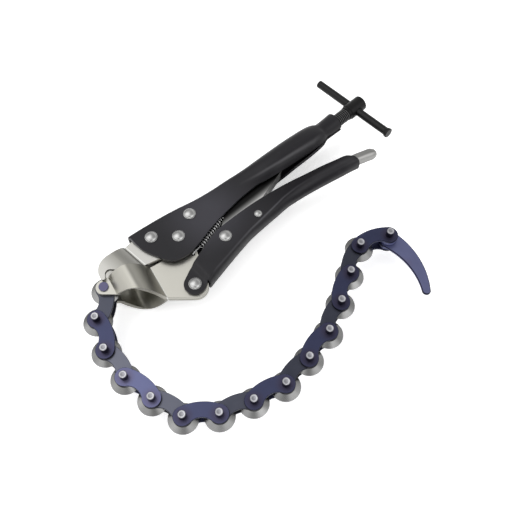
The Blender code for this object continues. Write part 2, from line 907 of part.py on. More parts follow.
def wheel_mesh():
    profile = [
        (wheel_hub_radius, wheel_hub_half),
        (wheel_radius, wheel_edge_half),
        (wheel_radius, -wheel_edge_half),
        (wheel_hub_radius, -wheel_hub_half),
        (wheel_bore, -wheel_hub_half),
        (wheel_bore, wheel_hub_half),
    ]
    return baked_mesh(turned("wheel", profile, wheel_steps, "ground_steel", True), "cutting_wheel")


def make_hook(parent, holes):
    outline = crescent(
        hook_reach, hook_boss_radius, hook_tip_radius, hook_crown, hook_waist
    )
    made = flat_plate("hook_blade", outline, -hook_half, hook_half, "blued_steel")
    boolean(made, holes["hook"])
    smooth(made, 30)
    return hang(made, parent, (pitch, 0), hook_turn)


def make_spacers(parent):
    """Two washers on each side of the hook, filling the gap between the outer plates."""
    room = outer_plate_low - hook_half
    thick = (room - running_gap * 3) / 2
    number = 0
    for side in (1, -1):
        for index in range(2):
            low = hook_half + running_gap + index * (thick + running_gap)
            number += 1
            profile = [
                (spacer_radius, thick / 2),
                (spacer_radius, -thick / 2),
                (bush_bore, -thick / 2),
                (bush_bore, thick / 2),
            ]
            name = f"spacer_washer_{number}"
            made = turned(name, profile, rivet_steps, "blued_steel", True)
            hang(made, parent, (pitch, 0), 0, side * (low + thick / 2))


def make_chain(jaw_axis, holes):
    """Links from the anchor outwards, each hung on the pin of the one before."""
    inner_mesh, outer_mesh = link_meshes()
    wheel = wheel_mesh()
    parent = jaw_axis
    place = plan(anchor_share)
    turn = anchor_turn
    for index in range(len(link_turns) + 1):
        inner = index % 2 == 0
        name = f"{'inner' if inner else 'outer'}_link_{index // 2 + 1}"
        link = new_object(name, inner_mesh if inner else outer_mesh)
        hang(link, parent, place, turn)
        disc = new_object(f"cutting_wheel_{index + 1}", wheel)
        if inner:
            hang(disc, link)
        else:
            hang(disc, parent, (pitch, 0))
        parent = link
        place = (pitch, 0)
        turn = link_turns[index] if index < len(link_turns) else 0
    hang(holes["hook"], parent, (pitch, 0))
    make_hook(parent, holes)
    make_spacers(parent)
    for mesh in (inner_mesh, outer_mesh, wheel):
        mesh.shade_smooth()
        mesh.set_sharp_from_angle(angle=math.radians(30))
    return parent


def make_anchor_pin(axis):
    low = tab_high + running_gap / 2
    profile = [
        (0, low + anchor_head_height),
        (anchor_head_radius, low + anchor_head_height),
        (anchor_head_radius, low),
        (pin_radius, low),
        (pin_radius, -low),
        (anchor_head_radius, -low),
        (anchor_head_radius, -low - anchor_head_height),
        (0, -low - anchor_head_height),
    ]
    made = turned("chain_anchor_pin", profile, rivet_steps, "blued_steel")
    return hang(made, axis, plan(anchor_share))


def pivot_cutters(frame, toggle_place):
    """One long round cutter for each pivot, shared by the pieces it passes through."""
    places = {
        "front": (plan(front_rivet_share), rivet_radius),
        "rear": (plan(rear_rivet_share), rivet_radius),
        "pivot": ((0, 0), rivet_radius),
        "handle": (plan(front_pivot_share), rivet_radius),
        "toggle": (toggle_place, rivet_radius),
        "release": (plan(release_rivet_share), small_rivet_radius),
        "anchor": (plan(anchor_share), pin_radius),
        "spring": (plan(spring_hole_share), spring_hole_radius - rivet_fit),
        "hook": ((0, 0), bush_bore - rivet_fit),
    }
    reach = tunnel_crown + overrun
    made = {}
    for name, (place, radius) in places.items():
        cutter = rod(f"cut_{name}", radius + rivet_fit, -reach, reach, rivet_steps)
        made[name] = hang(cutter, frame, place)
    return made


def settle(frame):
    """Moves the whole tool so that the middle of its lowest plane is the origin."""
    bpy.context.view_layer.update()
    graph = bpy.context.evaluated_depsgraph_get()
    corners = []
    for made in bpy.data.collections["exhaust_pipe_cutter"].objects:
        if made.type == "EMPTY":
            continue
        evaluated = made.evaluated_get(graph)
        mesh = evaluated.to_mesh()
        spots = np.empty(len(mesh.vertices) * 3, np.float32)
        mesh.vertices.foreach_get("co", spots)
        world = np.array(evaluated.matrix_world)
        spots = spots.reshape(-1, 3) @ world[:3, :3].T + world[:3, 3]
        corners += [spots.min(axis=0), spots.max(axis=0)]
        evaluated.to_mesh_clear()
    low, high = np.min(corners, axis=0), np.max(corners, axis=0)
    frame.location = (-(low[0] + high[0]) / 2, -(low[1] + high[1]) / 2, -low[2])
    bpy.context.view_layer.update()
    print("Size in mm:", np.round((high - low) * 1000, 2))


def report_axes(axes):
    for name, made, spot, direction in axes:
        place = made.matrix_world @ Vector(spot)
        aim = made.matrix_world.to_3x3() @ Vector(direction)
        print("Axis", name, [round(value, 6) for value in place], [round(v, 5) for v in aim])


def build():
    start_scene()
    frame = empty("tool_frame", None, turn=tool_heading)
    front = plan(front_pivot_share)
    nose = np.array((front[0] + linkage_base, screw_line_share * linkage_base))
    reach = nose - front
    heading = math.atan2(reach[1], reach[0])
    toggle_place = front + reach / np.linalg.norm(reach) * handle_link_share * linkage_base
    toggle_length = float(np.linalg.norm(nose - toggle_place))
    holes = pivot_cutters(frame, toggle_place)

    make_upper_handle(frame, holes)
    make_fixed_jaws(frame, holes)
    jaw_axis = empty("jaw_axis", frame)
    make_movable_jaws(jaw_axis, holes)
    handle_axis = empty("lower_handle_axis", jaw_axis, front)
    make_lower_handle(handle_axis, holes)
    toggle_axis = empty("toggle_axis", handle_axis, toggle_place - front, heading)
    make_toggle(toggle_axis, toggle_length, holes)
    release_place = plan(release_rivet_share) - front
    release_axis = empty("release_axis", handle_axis, release_place)
    make_release_lever(release_axis, holes)
    slide, turn = make_screw(frame, nose[0])
    make_spring(jaw_axis)

    big = (rivet_radius, rivet_head_radius, rivet_head_height)
    rivet("jaw_rivet_front", plan(front_rivet_share), handle_half, frame, *big)
    rivet("jaw_rivet_rear", plan(rear_rivet_share), handle_half, frame, *big)
    rivet("pivot_rivet", (0, 0), handle_half, frame, *big)
    rivet("handle_rivet", front, lobe_half, jaw_axis, *big)
    rivet("toggle_rivet", toggle_place - front, lower_half, handle_axis, *big)
    small = (small_rivet_radius, small_head_radius, small_head_height)
    rivet("release_rivet", release_place, lower_half, handle_axis, *small)
    make_anchor_pin(jaw_axis)
    last_link = make_chain(jaw_axis, holes)

    settle(frame)
    up = (0, 0, 1)
    axes = [
        ("jaw_pivot", jaw_axis, (0, 0, 0), up),
        ("lower_handle", handle_axis, (0, 0, 0), up),
        ("toggle", toggle_axis, (0, 0, 0), up),
        ("release", release_axis, (0, 0, 0), up),
        ("screw", slide, (0, 0, 0), up),
        ("head", turn, (0, 0, 0), up),
        ("bar", turn, (0, 0, running_gap + barrel_length / 2), (0, -1, 0)),
        ("anchor", jaw_axis, (*plan(anchor_share), 0), up),
        ("hook", last_link, (pitch, 0, 0), up),
    ]
    report_axes(axes)


build()
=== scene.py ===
import json
from math import acos, atan, atan2, ceil, cos, hypot, pi, radians, sin, sqrt
import bmesh
import bpy
import numpy as np
from mathutils import Matrix, Vector

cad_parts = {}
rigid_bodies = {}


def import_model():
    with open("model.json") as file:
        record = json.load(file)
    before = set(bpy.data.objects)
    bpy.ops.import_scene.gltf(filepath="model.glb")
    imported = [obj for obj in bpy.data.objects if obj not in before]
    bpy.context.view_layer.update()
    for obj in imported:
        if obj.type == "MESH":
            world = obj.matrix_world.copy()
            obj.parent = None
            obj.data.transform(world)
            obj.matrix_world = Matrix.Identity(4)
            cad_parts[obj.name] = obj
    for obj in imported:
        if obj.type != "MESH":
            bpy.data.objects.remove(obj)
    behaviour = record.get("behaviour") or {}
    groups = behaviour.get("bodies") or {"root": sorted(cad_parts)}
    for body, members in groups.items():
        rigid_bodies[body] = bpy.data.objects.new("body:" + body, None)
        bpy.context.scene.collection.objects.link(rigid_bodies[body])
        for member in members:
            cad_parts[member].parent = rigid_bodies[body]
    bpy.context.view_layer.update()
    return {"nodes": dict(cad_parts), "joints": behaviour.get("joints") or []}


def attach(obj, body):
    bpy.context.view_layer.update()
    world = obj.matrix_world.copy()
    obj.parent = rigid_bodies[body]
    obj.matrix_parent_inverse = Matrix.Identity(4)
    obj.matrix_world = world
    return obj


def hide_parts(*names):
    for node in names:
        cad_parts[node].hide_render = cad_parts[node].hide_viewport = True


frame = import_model()
jointOf = {joint["name"]: joint for joint in frame["joints"]}
print("Frame loaded:", len(frame["nodes"]), "CAD nodes")


class Wire:
    def __init__(self, finish, socket):
        self.finish, self.socket = finish, socket

    def sum(self, operation, other, swapped=False):
        first, second = (other, self) if swapped else (self, other)
        return self.finish.node("Math", {"operation": operation}, {0: first, 1: second})

    def __add__(self, other):
        return self.sum("ADD", other)

    def __radd__(self, other):
        return self.sum("ADD", other, True)

    def __sub__(self, other):
        return self.sum("SUBTRACT", other)

    def __rsub__(self, other):
        return self.sum("SUBTRACT", other, True)

    def __mul__(self, other):
        return self.sum("MULTIPLY", other)

    def __rmul__(self, other):
        return self.sum("MULTIPLY", other, True)

    def size(self):
        return self.sum("ABSOLUTE", 0.0)


class Nodes:
    def __init__(self, tree, shader):
        self.tree = tree
        self.shader = tree.nodes[shader]

    def set(self, name, value):
        self.fill(self.shader.inputs[name.replace("_", " ")], value)

    def fill(self, socket, value):
        if isinstance(value, Wire):
            self.tree.links.new(value.socket, socket)
        elif isinstance(value, tuple) and len(socket.default_value) == 4:
            socket.default_value = (*value, 1.0)
        else:
            socket.default_value = value

    def node(self, kind, settings=None, sockets=None, out=0):
        fresh = self.tree.nodes.new("ShaderNode" + kind)
        for key, value in (settings or {}).items():
            if key == "stops":
                self.fillRamp(fresh.color_ramp, value)
            else:
                setattr(fresh, key, value)
        for key, value in (sockets or {}).items():
            self.fill(fresh.inputs[key], value)
        return Wire(self, fresh.outputs[out])

    def fillRamp(self, ramp, stops):
        while len(ramp.elements) < len(stops):
            ramp.elements.new(0.5)
        for element, (place, level) in zip(ramp.elements, stops):
            element.position = place
            element.color = (level, level, level, 1.0)

    def coords(self):
        return self.node("TexCoord", out=3)

    def noise(self, scale, detail=2.0, roughness=0.5, coords=None):
        sockets = {"Scale": scale, "Detail": detail, "Roughness": roughness}
        return self.node("TexNoise", {}, {**sockets, "Vector": coords or self.coords()})

    def mix(self, mask, low, high, clamp=True):
        return self.node("Mix", {"data_type": "RGBA", "clamp_factor": clamp},
                         {0: mask, 6: low, 7: high}, out=2)

    def over(self, mask, base, tone):  # a tone is a strength and a colour
        return self.mix(mask * tone[0], base, tone[1])

    def vector(self, operation, first, second):
        return self.node("VectorMath", {"operation": operation}, {0: first, 1: second}, out=1)

    def axis(self, vector, which):
        return self.node("SeparateXYZ", {}, {0: vector}, out=which)

    def ramp(self, value, *stops):
        return self.node("ValToRGB", {"stops": stops}, {0: value})

    def mark(self, name):
        return self.node("Attribute", {"attribute_name": name}, out=2)

    def bump(self, height, strength, distance):
        self.set("Normal", self.node("Bump", {},
                                     {"Height": height, "Strength": strength, "Distance": distance}))

    def smoothed(self, value, low, high):
        return self.node("MapRange", {"interpolation_type": "SMOOTHSTEP"},
                         {0: value, 1: low, 2: high, 3: 0.0, 4: 1.0})

    def near(self, value, reach, low=0.0):
        return 1.0 - self.smoothed(value, low, reach)


class Finish(Nodes):
    def __init__(self, name, **fixed):
        self.material = bpy.data.materials.new(name)
        self.material.use_nodes = True
        super().__init__(self.material.node_tree, "Principled BSDF")
        for socket, value in fixed.items():
            self.set(socket, value)


def monotone(stations, values, at):  # smooth curve through stations, with no overshoot
    stations = np.asarray(stations, float)
    values = np.asarray(values, float)
    column = (-1,) + (1,) * (values.ndim - 1)
    wide = np.diff(stations).reshape(column)
    rise = np.diff(values, axis=0) / wide
    slope = np.empty_like(values)
    slope[0], slope[-1] = rise[0], rise[-1]
    before, after = 2 * wide[1:] + wide[:-1], wide[1:] + 2 * wide[:-1]
    same = rise[:-1] * rise[1:] > 0
    safe = np.where(same, rise[:-1] * rise[1:], 1.0)
    mean = (before + after) * safe / (before * rise[1:] + after * rise[:-1] + 1e-30)
    slope[1:-1] = np.where(same, mean, 0.0)
    spot = np.clip(np.searchsorted(stations, at, side="right") - 1, 0, len(stations) - 2)
    share = ((at - stations[spot]) / (stations[spot + 1] - stations[spot])).reshape(column)
    gap = wide[spot]
    first = (1 + 2 * share) * (1 - share) ** 2 * values[spot] + share * (1 - share) ** 2 * gap * slope[spot]
    last = share ** 2 * (3 - 2 * share) * values[spot + 1] + share ** 2 * (share - 1) * gap * slope[spot + 1]
    return first + last


def added(name, data):
    made = bpy.data.objects.new(name, data)
    bpy.context.scene.collection.objects.link(made)
    return made


def fromShape(name, shape):
    bmesh.ops.recalc_face_normals(shape, faces=shape.faces)
    return bareShape(name, shape)


def bareShape(name, shape):  # keeps the face directions that it has
    mesh = bpy.data.meshes.new(name)
    shape.to_mesh(mesh)
    shape.free()
    return added(name, mesh)


def modify(made, kind, **settings):
    modifier = made.modifiers.new(kind.lower(), kind)
    for key, value in settings.items():
        setattr(modifier, key, value)
    return made


def builtMesh(made):
    bpy.context.view_layer.update()
    graph = bpy.context.evaluated_depsgraph_get()
    return bpy.data.meshes.new_from_object(made.evaluated_get(graph))


def settled(made, degrees=30):  # modifiers into the mesh, then smooth but for real corners
    old, built = made.data, builtMesh(made)
    made.modifiers.clear()
    made.data = built
    bpy.data.meshes.remove(old)
    made.data.shade_smooth()
    made.data.set_sharp_from_angle(angle=radians(degrees))
    return modify(made, "WEIGHTED_NORMAL", weight=50, keep_sharp=True)


def drilled(made, holes, bevel):  # bevel: width, segments, least corner, least angle kept sharp
    for hole in holes:
        modify(made, "BOOLEAN", operation="DIFFERENCE", object=hole, solver="EXACT")
    width, segments, corner, sharp = bevel
    modify(made, "BEVEL", width=width, segments=segments, limit_method="ANGLE",
           angle_limit=radians(corner), use_clamp_overlap=True, miter_outer="MITER_ARC")
    return settled(made, sharp)


def placed(made, matrix, body, finish, slot, *nodes):
    made.matrix_world = matrix
    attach(made, body)
    made.data.materials.clear()
    made.data.materials.append(finish.material)
    if nodes:
        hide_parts(*nodes)


rimLimit = {"shell": 0.00024, "chain": 0.00052}  # widest bevel face that counts as rim


def rimMark(made, limit):  # marks the narrow faces that a bevel leaves
    mesh = made.data
    flags = []
    for face in mesh.polygons:
        longest = max((mesh.vertices[a].co - mesh.vertices[b].co).length for a, b in face.edge_keys)
        flags.append(float(face.area < rimLimit[limit] * longest))
    attribute = mesh.attributes.new("rim", "FLOAT", "FACE")
    attribute.data.foreach_set("value", flags)
    return made


def belt(circles, step=radians(6)):  # outline round signed circles, anticlockwise
    leaving = []
    for index, (x, y, radius) in enumerate(circles):
        nextX, nextY, nextRadius = circles[(index + 1) % len(circles)]
        share = (radius - nextRadius) / hypot(nextX - x, nextY - y)
        leaving.append(atan2(nextY - y, nextX - x) - acos(max(-1.0, min(1.0, share))))
    points = []
    for index, (x, y, radius) in enumerate(circles):
        if radius == 0:
            points.append((x, y))
            continue
        start = leaving[index - 1]
        sweep = (leaving[index] - start) % (2 * pi)
        if radius < 0:
            sweep -= 2 * pi
        parts = max(1, ceil(abs(sweep) / step - 0.01))
        for part in range(parts + 1):
            angle = start + sweep * part / parts
            points.append((x + radius * cos(angle), y + radius * sin(angle)))
    return points


def sideArc(length, near, far):
    lead = 1 - far / near
    rest = length * length - far * far + near * far
    if abs(lead) < 1e-9:
        along = rest / (2 * length)
    else:
        along = (length - sqrt(length * length - lead * rest)) / lead
    return along, (near * near - along * along) / (2 * near)


def crescent(length, first, second, crown, waist):
    leftX, leftY = sideArc(length, crown - first, crown - second)
    rightX, rightY = sideArc(length, first - waist, second - waist)
    return belt([
        (0, 0, first), (rightX, rightY, waist + rightY), (length, 0, second), (leftX, leftY, crown - leftY),
    ], radians(4))


def plateShape(shape, outline, low, high):  # adds a closed flat plate to a bmesh
    rim = [shape.verts.new((x, y, low)) for x, y in outline]
    face = shape.faces.new(rim)
    grown = bmesh.ops.extrude_face_region(shape, geom=[face])
    lifted = [item for item in grown["geom"] if isinstance(item, bmesh.types.BMVert)]
    bmesh.ops.translate(shape, verts=lifted, vec=(0, 0, high - low))
    return shape


def ringAt(shape, radii, height, middle=(0, 0)):
    ring = []
    for index, radius in enumerate(radii):
        angle = 2 * pi * index / len(radii)
        x, y = middle[0] + radius * cos(angle), middle[1] + radius * sin(angle)
        ring.append(shape.verts.new((x, y, height)))
    return ring


def joinRings(shape, rings):
    steps = len(rings[0])
    for upper, lower in zip(rings[:-1], rings[1:]):
        for index in range(steps):
            after = (index + 1) % steps
            corners = list(dict.fromkeys((upper[index], lower[index], lower[after], upper[after])))
            if len(corners) > 2:
                shape.faces.new(corners)
    return shape


def turnShape(shape, profile, steps, closed=False, middle=(0, 0)):  # adds a turned body
    rings = []
    for radius, height in profile:
        if radius == 0:
            rings.append([shape.verts.new((*middle, height))] * steps)
        else:
            rings.append(ringAt(shape, [radius] * steps, height, middle))
    return joinRings(shape, rings + rings[:1] if closed else rings)


def mirrored(profile):  # the same profile again below z = 0
    return profile + [(radius, -height) for radius, height in reversed(profile)]


def turned(name, profile, steps, closed=False):
    return fromShape(name, turnShape(bmesh.new(), profile, steps, closed))


def flat(name, outline, half):
    return fromShape(name, plateShape(bmesh.new(), outline, -half, half))


def arcPoints(x, y, radius, start, end, count):  # round corner of a turned profile
    angles = [radians(start + (end - start) * index / count) for index in range(count + 1)]
    return [(x + radius * cos(angle), y + radius * sin(angle)) for angle in angles]


def skin(name, rings, wall, skip=None):  # open surface through rings, thickened inwards
    shape = bmesh.new()
    rows = [[shape.verts.new(point) for point in ring] for ring in rings]
    for index in range(len(rows) - 1):
        for place in range(len(rows[index]) - 1):
            if skip and skip(index, place):
                continue
            shape.faces.new((
                rows[index][place], rows[index + 1][place],
                rows[index + 1][place + 1], rows[index][place + 1],
            ))
    loose = [vert for vert in shape.verts if not vert.link_faces]
    bmesh.ops.delete(shape, geom=loose, context="VERTS")
    bmesh.ops.remove_doubles(shape, verts=shape.verts, dist=1e-6)
    made = bareShape(name, shape)
    return modify(made, "SOLIDIFY", thickness=wall, offset=-1, use_even_offset=True, use_rim=True)


def dense(rings, spacing):  # rings with constant x, smoothed and filled in
    rings = np.array(rings)
    stations = rings[:, 0, 0]
    at = [stations[0]]
    for start, end in zip(stations[:-1], stations[1:]):
        parts = max(3, ceil((end - start) / spacing))
        at += [start + (end - start) * part / parts for part in range(1, parts + 1)]
    at = np.array(at)
    return at, monotone(stations, rings, at)


tool = {
    "base": 0.1, "heading": radians(42.6),
    "frontPivot": (-0.141, -0.337), "frontRivet": (-0.142, 0.118), "rearRivet": (0.167, 0.084),
    "releaseRivet": (0.519, -0.232), "anchor": (-0.6, 0.036), "springHole": (-0.005, -0.152),
    "screwLine": -0.006, "handleLink": 0.3988, "collarEnd": 1.515,
    "gap": 0.0003,
    "hubHalf": 0.0027, "linkPlate": 0.0016, "jawPlate": 0.0024, "splitHalf": 0.00015,
    "handleWall": 0.0016, "toggleHalf": 0.0046,
    "pinRadius": 0.0025,
}
base, gap = tool["base"], tool["gap"]


def plan(share):
    return np.array(share) * base


def cornerAt(share, radius=0):
    return (*plan(share), radius)


def spin(angle, axis="Z"):
    return Matrix.Rotation(angle, 4, axis)


pivot = Vector(jointOf["jaw_pivot"]["pos_m"])
toolMatrix = Matrix.Translation(pivot) @ spin(tool["heading"])
innerLow = tool["hubHalf"] + gap
innerHigh = innerLow + tool["linkPlate"]
outerLow = innerHigh + gap
outerHigh = outerLow + tool["linkPlate"]
movableHigh = tool["splitHalf"] + tool["jawPlate"]
fixedHigh = movableHigh + gap + tool["jawPlate"]
tabHigh = outerLow + tool["jawPlate"]
hookHigh = tabHigh + gap + tool["jawPlate"]
handleHalf = fixedHigh + gap + tool["handleWall"]
lobeHalf = movableHigh + gap + tool["handleWall"]
lowerHalf = tool["toggleHalf"] + gap + tool["handleWall"]


def toolPlace(x, y, z=0.0, turn=0.0):
    return toolMatrix @ Matrix.Translation((x, y, z)) @ spin(turn)


handleLines = {  # painted highlight lines on the handles: x, y and strength along the tool, in base lengths
    "ridge": (
        (0.56, 0.034, 0.0), (0.64, 0.018, 0.2), (0.72, 0.0, 0.6), (0.8, -0.014, 0.9),
        (0.91, -0.031, 1.0), (1.02, -0.042, 1.0), (1.14, -0.055, 0.9), (1.23, -0.062, 0.8),
        (1.33, -0.052, 0.0),
    ),
    "crest": (
        (-0.02, -0.366, 0.0), (0.04, -0.352, 0.4), (0.14, -0.334, 0.4), (0.26, -0.312, 0.5),
        (0.4, -0.288, 0.7), (0.53, -0.276, 1.0), (0.63, -0.266, 1.0), (0.74, -0.254, 0.8),
        (0.86, -0.254, 0.45), (0.98, -0.266, 0.15), (1.12, -0.296, 0.0),
    ),
    "roll": (
        (0.66, -0.286, 0.0), (0.78, -0.278, 0.35), (0.88, -0.277, 0.7), (1.06, -0.294, 1.0),
        (1.24, -0.326, 1.0), (1.32, -0.35, 0.6), (1.38, -0.366, 0.0),
    ),
    "start": -0.4, "length": 2.0, "low": -0.5, "high": 0.5, "fade": (0.001, 0.003),
}


def lineDistance(made, place, name):  # signed distance from a drawn line, and its strength
    start, span, low = handleLines["start"], handleLines["length"], handleLines["low"]
    wide = handleLines["high"] - low
    along = (place[0] * (1 / base) - start) * (1 / span)
    spots = [((x - start) / span, y, level) for x, y, level in handleLines[name]]
    line = made.ramp(along, *[(spot, (y - low) / wide) for spot, y, level in spots])
    strength = made.ramp(along, *[(spot, level) for spot, y, level in spots])
    across = (place[1] * (1 / base) - low) * (1 / wide) - line
    return across * (base * wide), strength * made.smoothed(place[2], *handleLines["fade"])


coat = {
    "dark": (0.0075, 0.0071, 0.0088), "light": (0.0145, 0.0138, 0.0165), "rough": 0.3,
    "glowPlace": (0.026, 0.001, 0.007), "glowNear": 0.004, "glowFar": 0.038,
    "under": (0.0014, 0.0042), "underMetal": 0.55, "speck": (0.14, 0.00006),
    "lines": {"ridge": 0.0017, "crest": 0.0011, "roll": 0.0036},  # half widths
    "tones": {  # strength and colour, laid over each other in this order; rub is wear, glow is a painted sheen, rim a painted highlight on the edges, roll, ridge and crest painted highlight lines
        "rub": (0.2, (0.04, 0.04, 0.043)), "glow": (0.36, (0.075, 0.073, 0.09)),
        "rim": (0.85, (0.15, 0.15, 0.156)), "roll": (0.55, (0.052, 0.051, 0.055)),
        "ridge": (0.6, (0.08, 0.078, 0.084)), "crest": (0.6, (0.095, 0.093, 0.102)),
    },
}


def blackCoat():
    made = Finish("blackSatinCoat", Specular_IOR_Level=0.28)
    cloud, speck = made.noise(55, 3.0), made.noise(2600, 2.0, 0.6)
    rub = made.ramp(made.noise(240, 4.0, 0.65), (0.6, 0.0), (0.78, 1.0))
    # painted sheen: a lighter pool round glowPlace
    distance = made.vector("DISTANCE", made.coords(), coat["glowPlace"])
    masks = {"rub": rub, "rim": made.mark("rim")}
    masks["glow"] = made.near(distance, coat["glowFar"], coat["glowNear"])
    # painted highlights: lighter lines along the ridge, crest and roll of the handles
    place = [made.axis(made.coords(), which) for which in range(3)]
    for name, reach in coat["lines"].items():
        line, level = lineDistance(made, place, name)
        masks[name] = made.near(line.size(), reach) * level
        if name == "ridge":  # the side below the ridge mirrors its surroundings
            made.set("Metallic", made.smoothed(0.0 - line, *coat["under"]) * level * coat["underMetal"])
    base = made.mix(cloud, coat["dark"], coat["light"])
    for name, tone in coat["tones"].items():
        base = made.over(masks[name], base, tone)
    made.set("Base Color", base)
    made.set("Roughness", coat["rough"] + 0.1 * cloud + 0.05 * rub)
    made.bump(speck, *coat["speck"])
    return made


plating = {
    "brush": (4200.0, 420.0, 4200.0), "lineReach": 0.02, "gap": (0.0002, 0.001), "insideShare": 0.3,
    "line": (0.8, (0.9, 0.9, 0.88)), "rim": (0.7, (0.095, 0.093, 0.082)), "relief": (0.1, 0.00004),
}


def nickel(name, low, high, rough, **shade):  # shade: painted shade across the piece, a painted highlight line, painted shade on the inside faces
    made = Finish(name, Metallic=1.0)
    cloud, fine = made.noise(70, 3.0), made.noise(3800, 2.0)
    stretched = made.node("Mapping", {}, {"Vector": made.coords(), "Scale": plating["brush"]})
    brushed = made.noise(1.0, 3.0, 0.6, stretched)
    colour = made.mix(cloud, low, high)
    if "across" in shade:
        across = made.vector("DOT_PRODUCT", made.coords(), (*shade["across"], 0.0))
        share = (across - shade["start"]) * (1 / (shade["end"] - shade["start"]))
        colour = made.mix(made.ramp(share, *shade["stops"]), colour, shade["deep"])
    # painted highlight: a bright line across the piece at share shade["line"]
    if "line" in shade:
        highlightLine = made.near((share - shade["line"]).size(), plating["lineReach"])
        colour = made.over(highlightLine, colour, plating["line"])
    if "inside" in shade:  # painted shade on the faces that look at the gap between the two plates
        height = made.axis(made.coords(), 2)
        facing = made.axis(made.node("TexCoord", out=1), 2)
        inner = made.smoothed(0.0 - height * facing, *plating["gap"])
        colour = made.over(inner, colour, (plating["insideShare"], shade["inside"]))
    # rims darkened: painted shade along the edges
    made.set("Base Color", made.over(made.mark("rim"), colour, plating["rim"]))
    made.set("Roughness", rough + 0.1 * brushed + 0.05 * cloud)
    made.bump(0.6 * brushed + 0.4 * fine, *plating["relief"])
    return made


blueing = {  # each colour at a painted light level of 0 and of 1
    "blue": ((0.045, 0.05, 0.1), (0.132, 0.142, 0.262)),
    "grey": ((0.05, 0.053, 0.066), (0.165, 0.17, 0.19)),
    "purple": ((0.044, 0.038, 0.066), (0.128, 0.118, 0.2)),
    "ends": ((0.0, 0.0, 0.006), (0.022, 0.0, 0.006)), "endNear": 0.003, "endFar": 0.0078,
    "share": 0.8, "cloud": 0.25, "rim": (0.95, (0.006, 0.006, 0.016)), "relief": (0.1, 0.00004),
}


def bluedSteel():
    made = Finish("bluedSteel", Metallic=0.9)
    cloud, fine = made.noise(90, 3.0, 0.55), made.noise(3000, 2.0)
    # painted light: each piece's level stands in for how light falls on it, with a random cloud added
    tint = made.mark("tint") + (cloud - 0.5) * blueing["cloud"]
    blue, grey, purple = (made.mix(tint, *blueing[name], clamp=False)
                          for name in ("blue", "grey", "purple"))
    # painted shade round both pins, darker and purple
    ends = [made.vector("DISTANCE", made.coords(), spot) for spot in blueing["ends"]]
    atEnds = made.near(ends[0].sum("MINIMUM", ends[1]), blueing["endFar"], blueing["endNear"])
    colour = made.over(atEnds, blue, (blueing["share"], purple))
    colour = made.over(made.mark("grey"), colour, (blueing["share"], grey))
    # rims darkened: painted shade along the edges
    made.set("Base Color", made.over(made.mark("rim"), colour, blueing["rim"]))
    made.set("Roughness", 0.3 + 0.12 * cloud)
    made.bump(fine, *blueing["relief"])
    return made


def plainSteel(name, metallic, noise, tones, rough, faces=None, relief=None):
    made = Finish(name, Metallic=metallic)
    cloud = made.noise(*noise)
    base = made.mix(cloud, *tones)
    if faces:
        base = made.mix(made.mark("top"), base, made.mix(cloud, *faces))
    made.set("Base Color", base)
    made.set("Roughness", rough[0] + rough[1] * cloud)
    if relief:
        made.bump(cloud, *relief)
    return made


grinding = {
    "tones": ((0.22, 0.22, 0.219), (0.34, 0.34, 0.338)), "grooves": 4000, "rough": (0.22, 0.06),
    "relief": (0.03, 0.00002),
}


def groundSteel():  # grooves run round each wheel; light and dark wedges are a painted reflection
    made = Finish("groundSteel", Metallic=1.0)
    wedge = made.mark("wedge")
    place = made.node("CombineXYZ", {}, {0: made.mark("radius") * grinding["grooves"], 1: wedge * 2.0})
    groove = made.noise(1.0, 2.0, 0.5, place)
    made.set("Base Color", made.mix(wedge, *grinding["tones"]))
    made.set("Roughness", grinding["rough"][0] + grinding["rough"][1] * groove)
    made.bump(groove, *grinding["relief"])
    return made


blacking = {
    "tones": ((0.004, 0.004, 0.0042), (0.009, 0.009, 0.0093)), "crest": (0.11, 0.11, 0.112),
    "rim": (0.6, (0.05, 0.05, 0.05)), "root": (0.002, 0.002, 0.002), "rough": (0.27, 0.1),
    "relief": (0.16, 0.00005),
}


def blackOxide():  # thread crests lighter, roots dark as painted shade in the grooves and mirroring
    made = Finish("blackOxide", Specular_IOR_Level=0.36)
    cloud, root = made.noise(160, 3.0), made.mark("root")
    colour = made.mix(cloud, *blacking["tones"])
    colour = made.mix(made.mark("crest"), colour, blacking["crest"])
    colour = made.over(made.mark("rim"), colour, blacking["rim"])
    made.set("Base Color", made.mix(root, colour, blacking["root"]))
    made.set("Metallic", 0.35 + 0.65 * root)
    made.set("Roughness", blacking["rough"][0] + blacking["rough"][1] * cloud)
    made.bump(made.noise(2400, 2.0), *blacking["relief"])
    return made


black = blackCoat()
# painted shade: darker across the rise between the hook and the crease
fixedNickel = nickel(
    "fixedJawNickel", (0.55, 0.542, 0.51), (0.625, 0.617, 0.585), 0.3,
    across=(0.9956, 0.0941), start=-0.0565, end=-0.0285, deep=(0.088, 0.084, 0.06), line=0.965,
    stops=((0.0, 0.0), (0.25, 0.06), (0.45, 0.32), (0.62, 0.52), (0.8, 0.38), (0.93, 0.2), (1.0, 0.0)),
)
# painted shade and highlight across the tunnel, and painted shade on the inside faces
movableNickel = nickel(
    "movableJawNickel", (0.535, 0.522, 0.47), (0.61, 0.597, 0.545), 0.3,
    across=(0.9774, -0.2113), start=-0.0541, end=-0.0267, deep=(0.074, 0.069, 0.048), line=1.0,
    stops=((0.0, 0.0), (0.02, 0.26), (0.16, 0.22), (0.33, 0.2), (0.42, 0.23), (0.56, 0.34), (0.7, 0.58),
           (0.8, 0.55), (0.96, 0.25), (1.0, 0.0)),
    inside=(0.085, 0.08, 0.048),
)
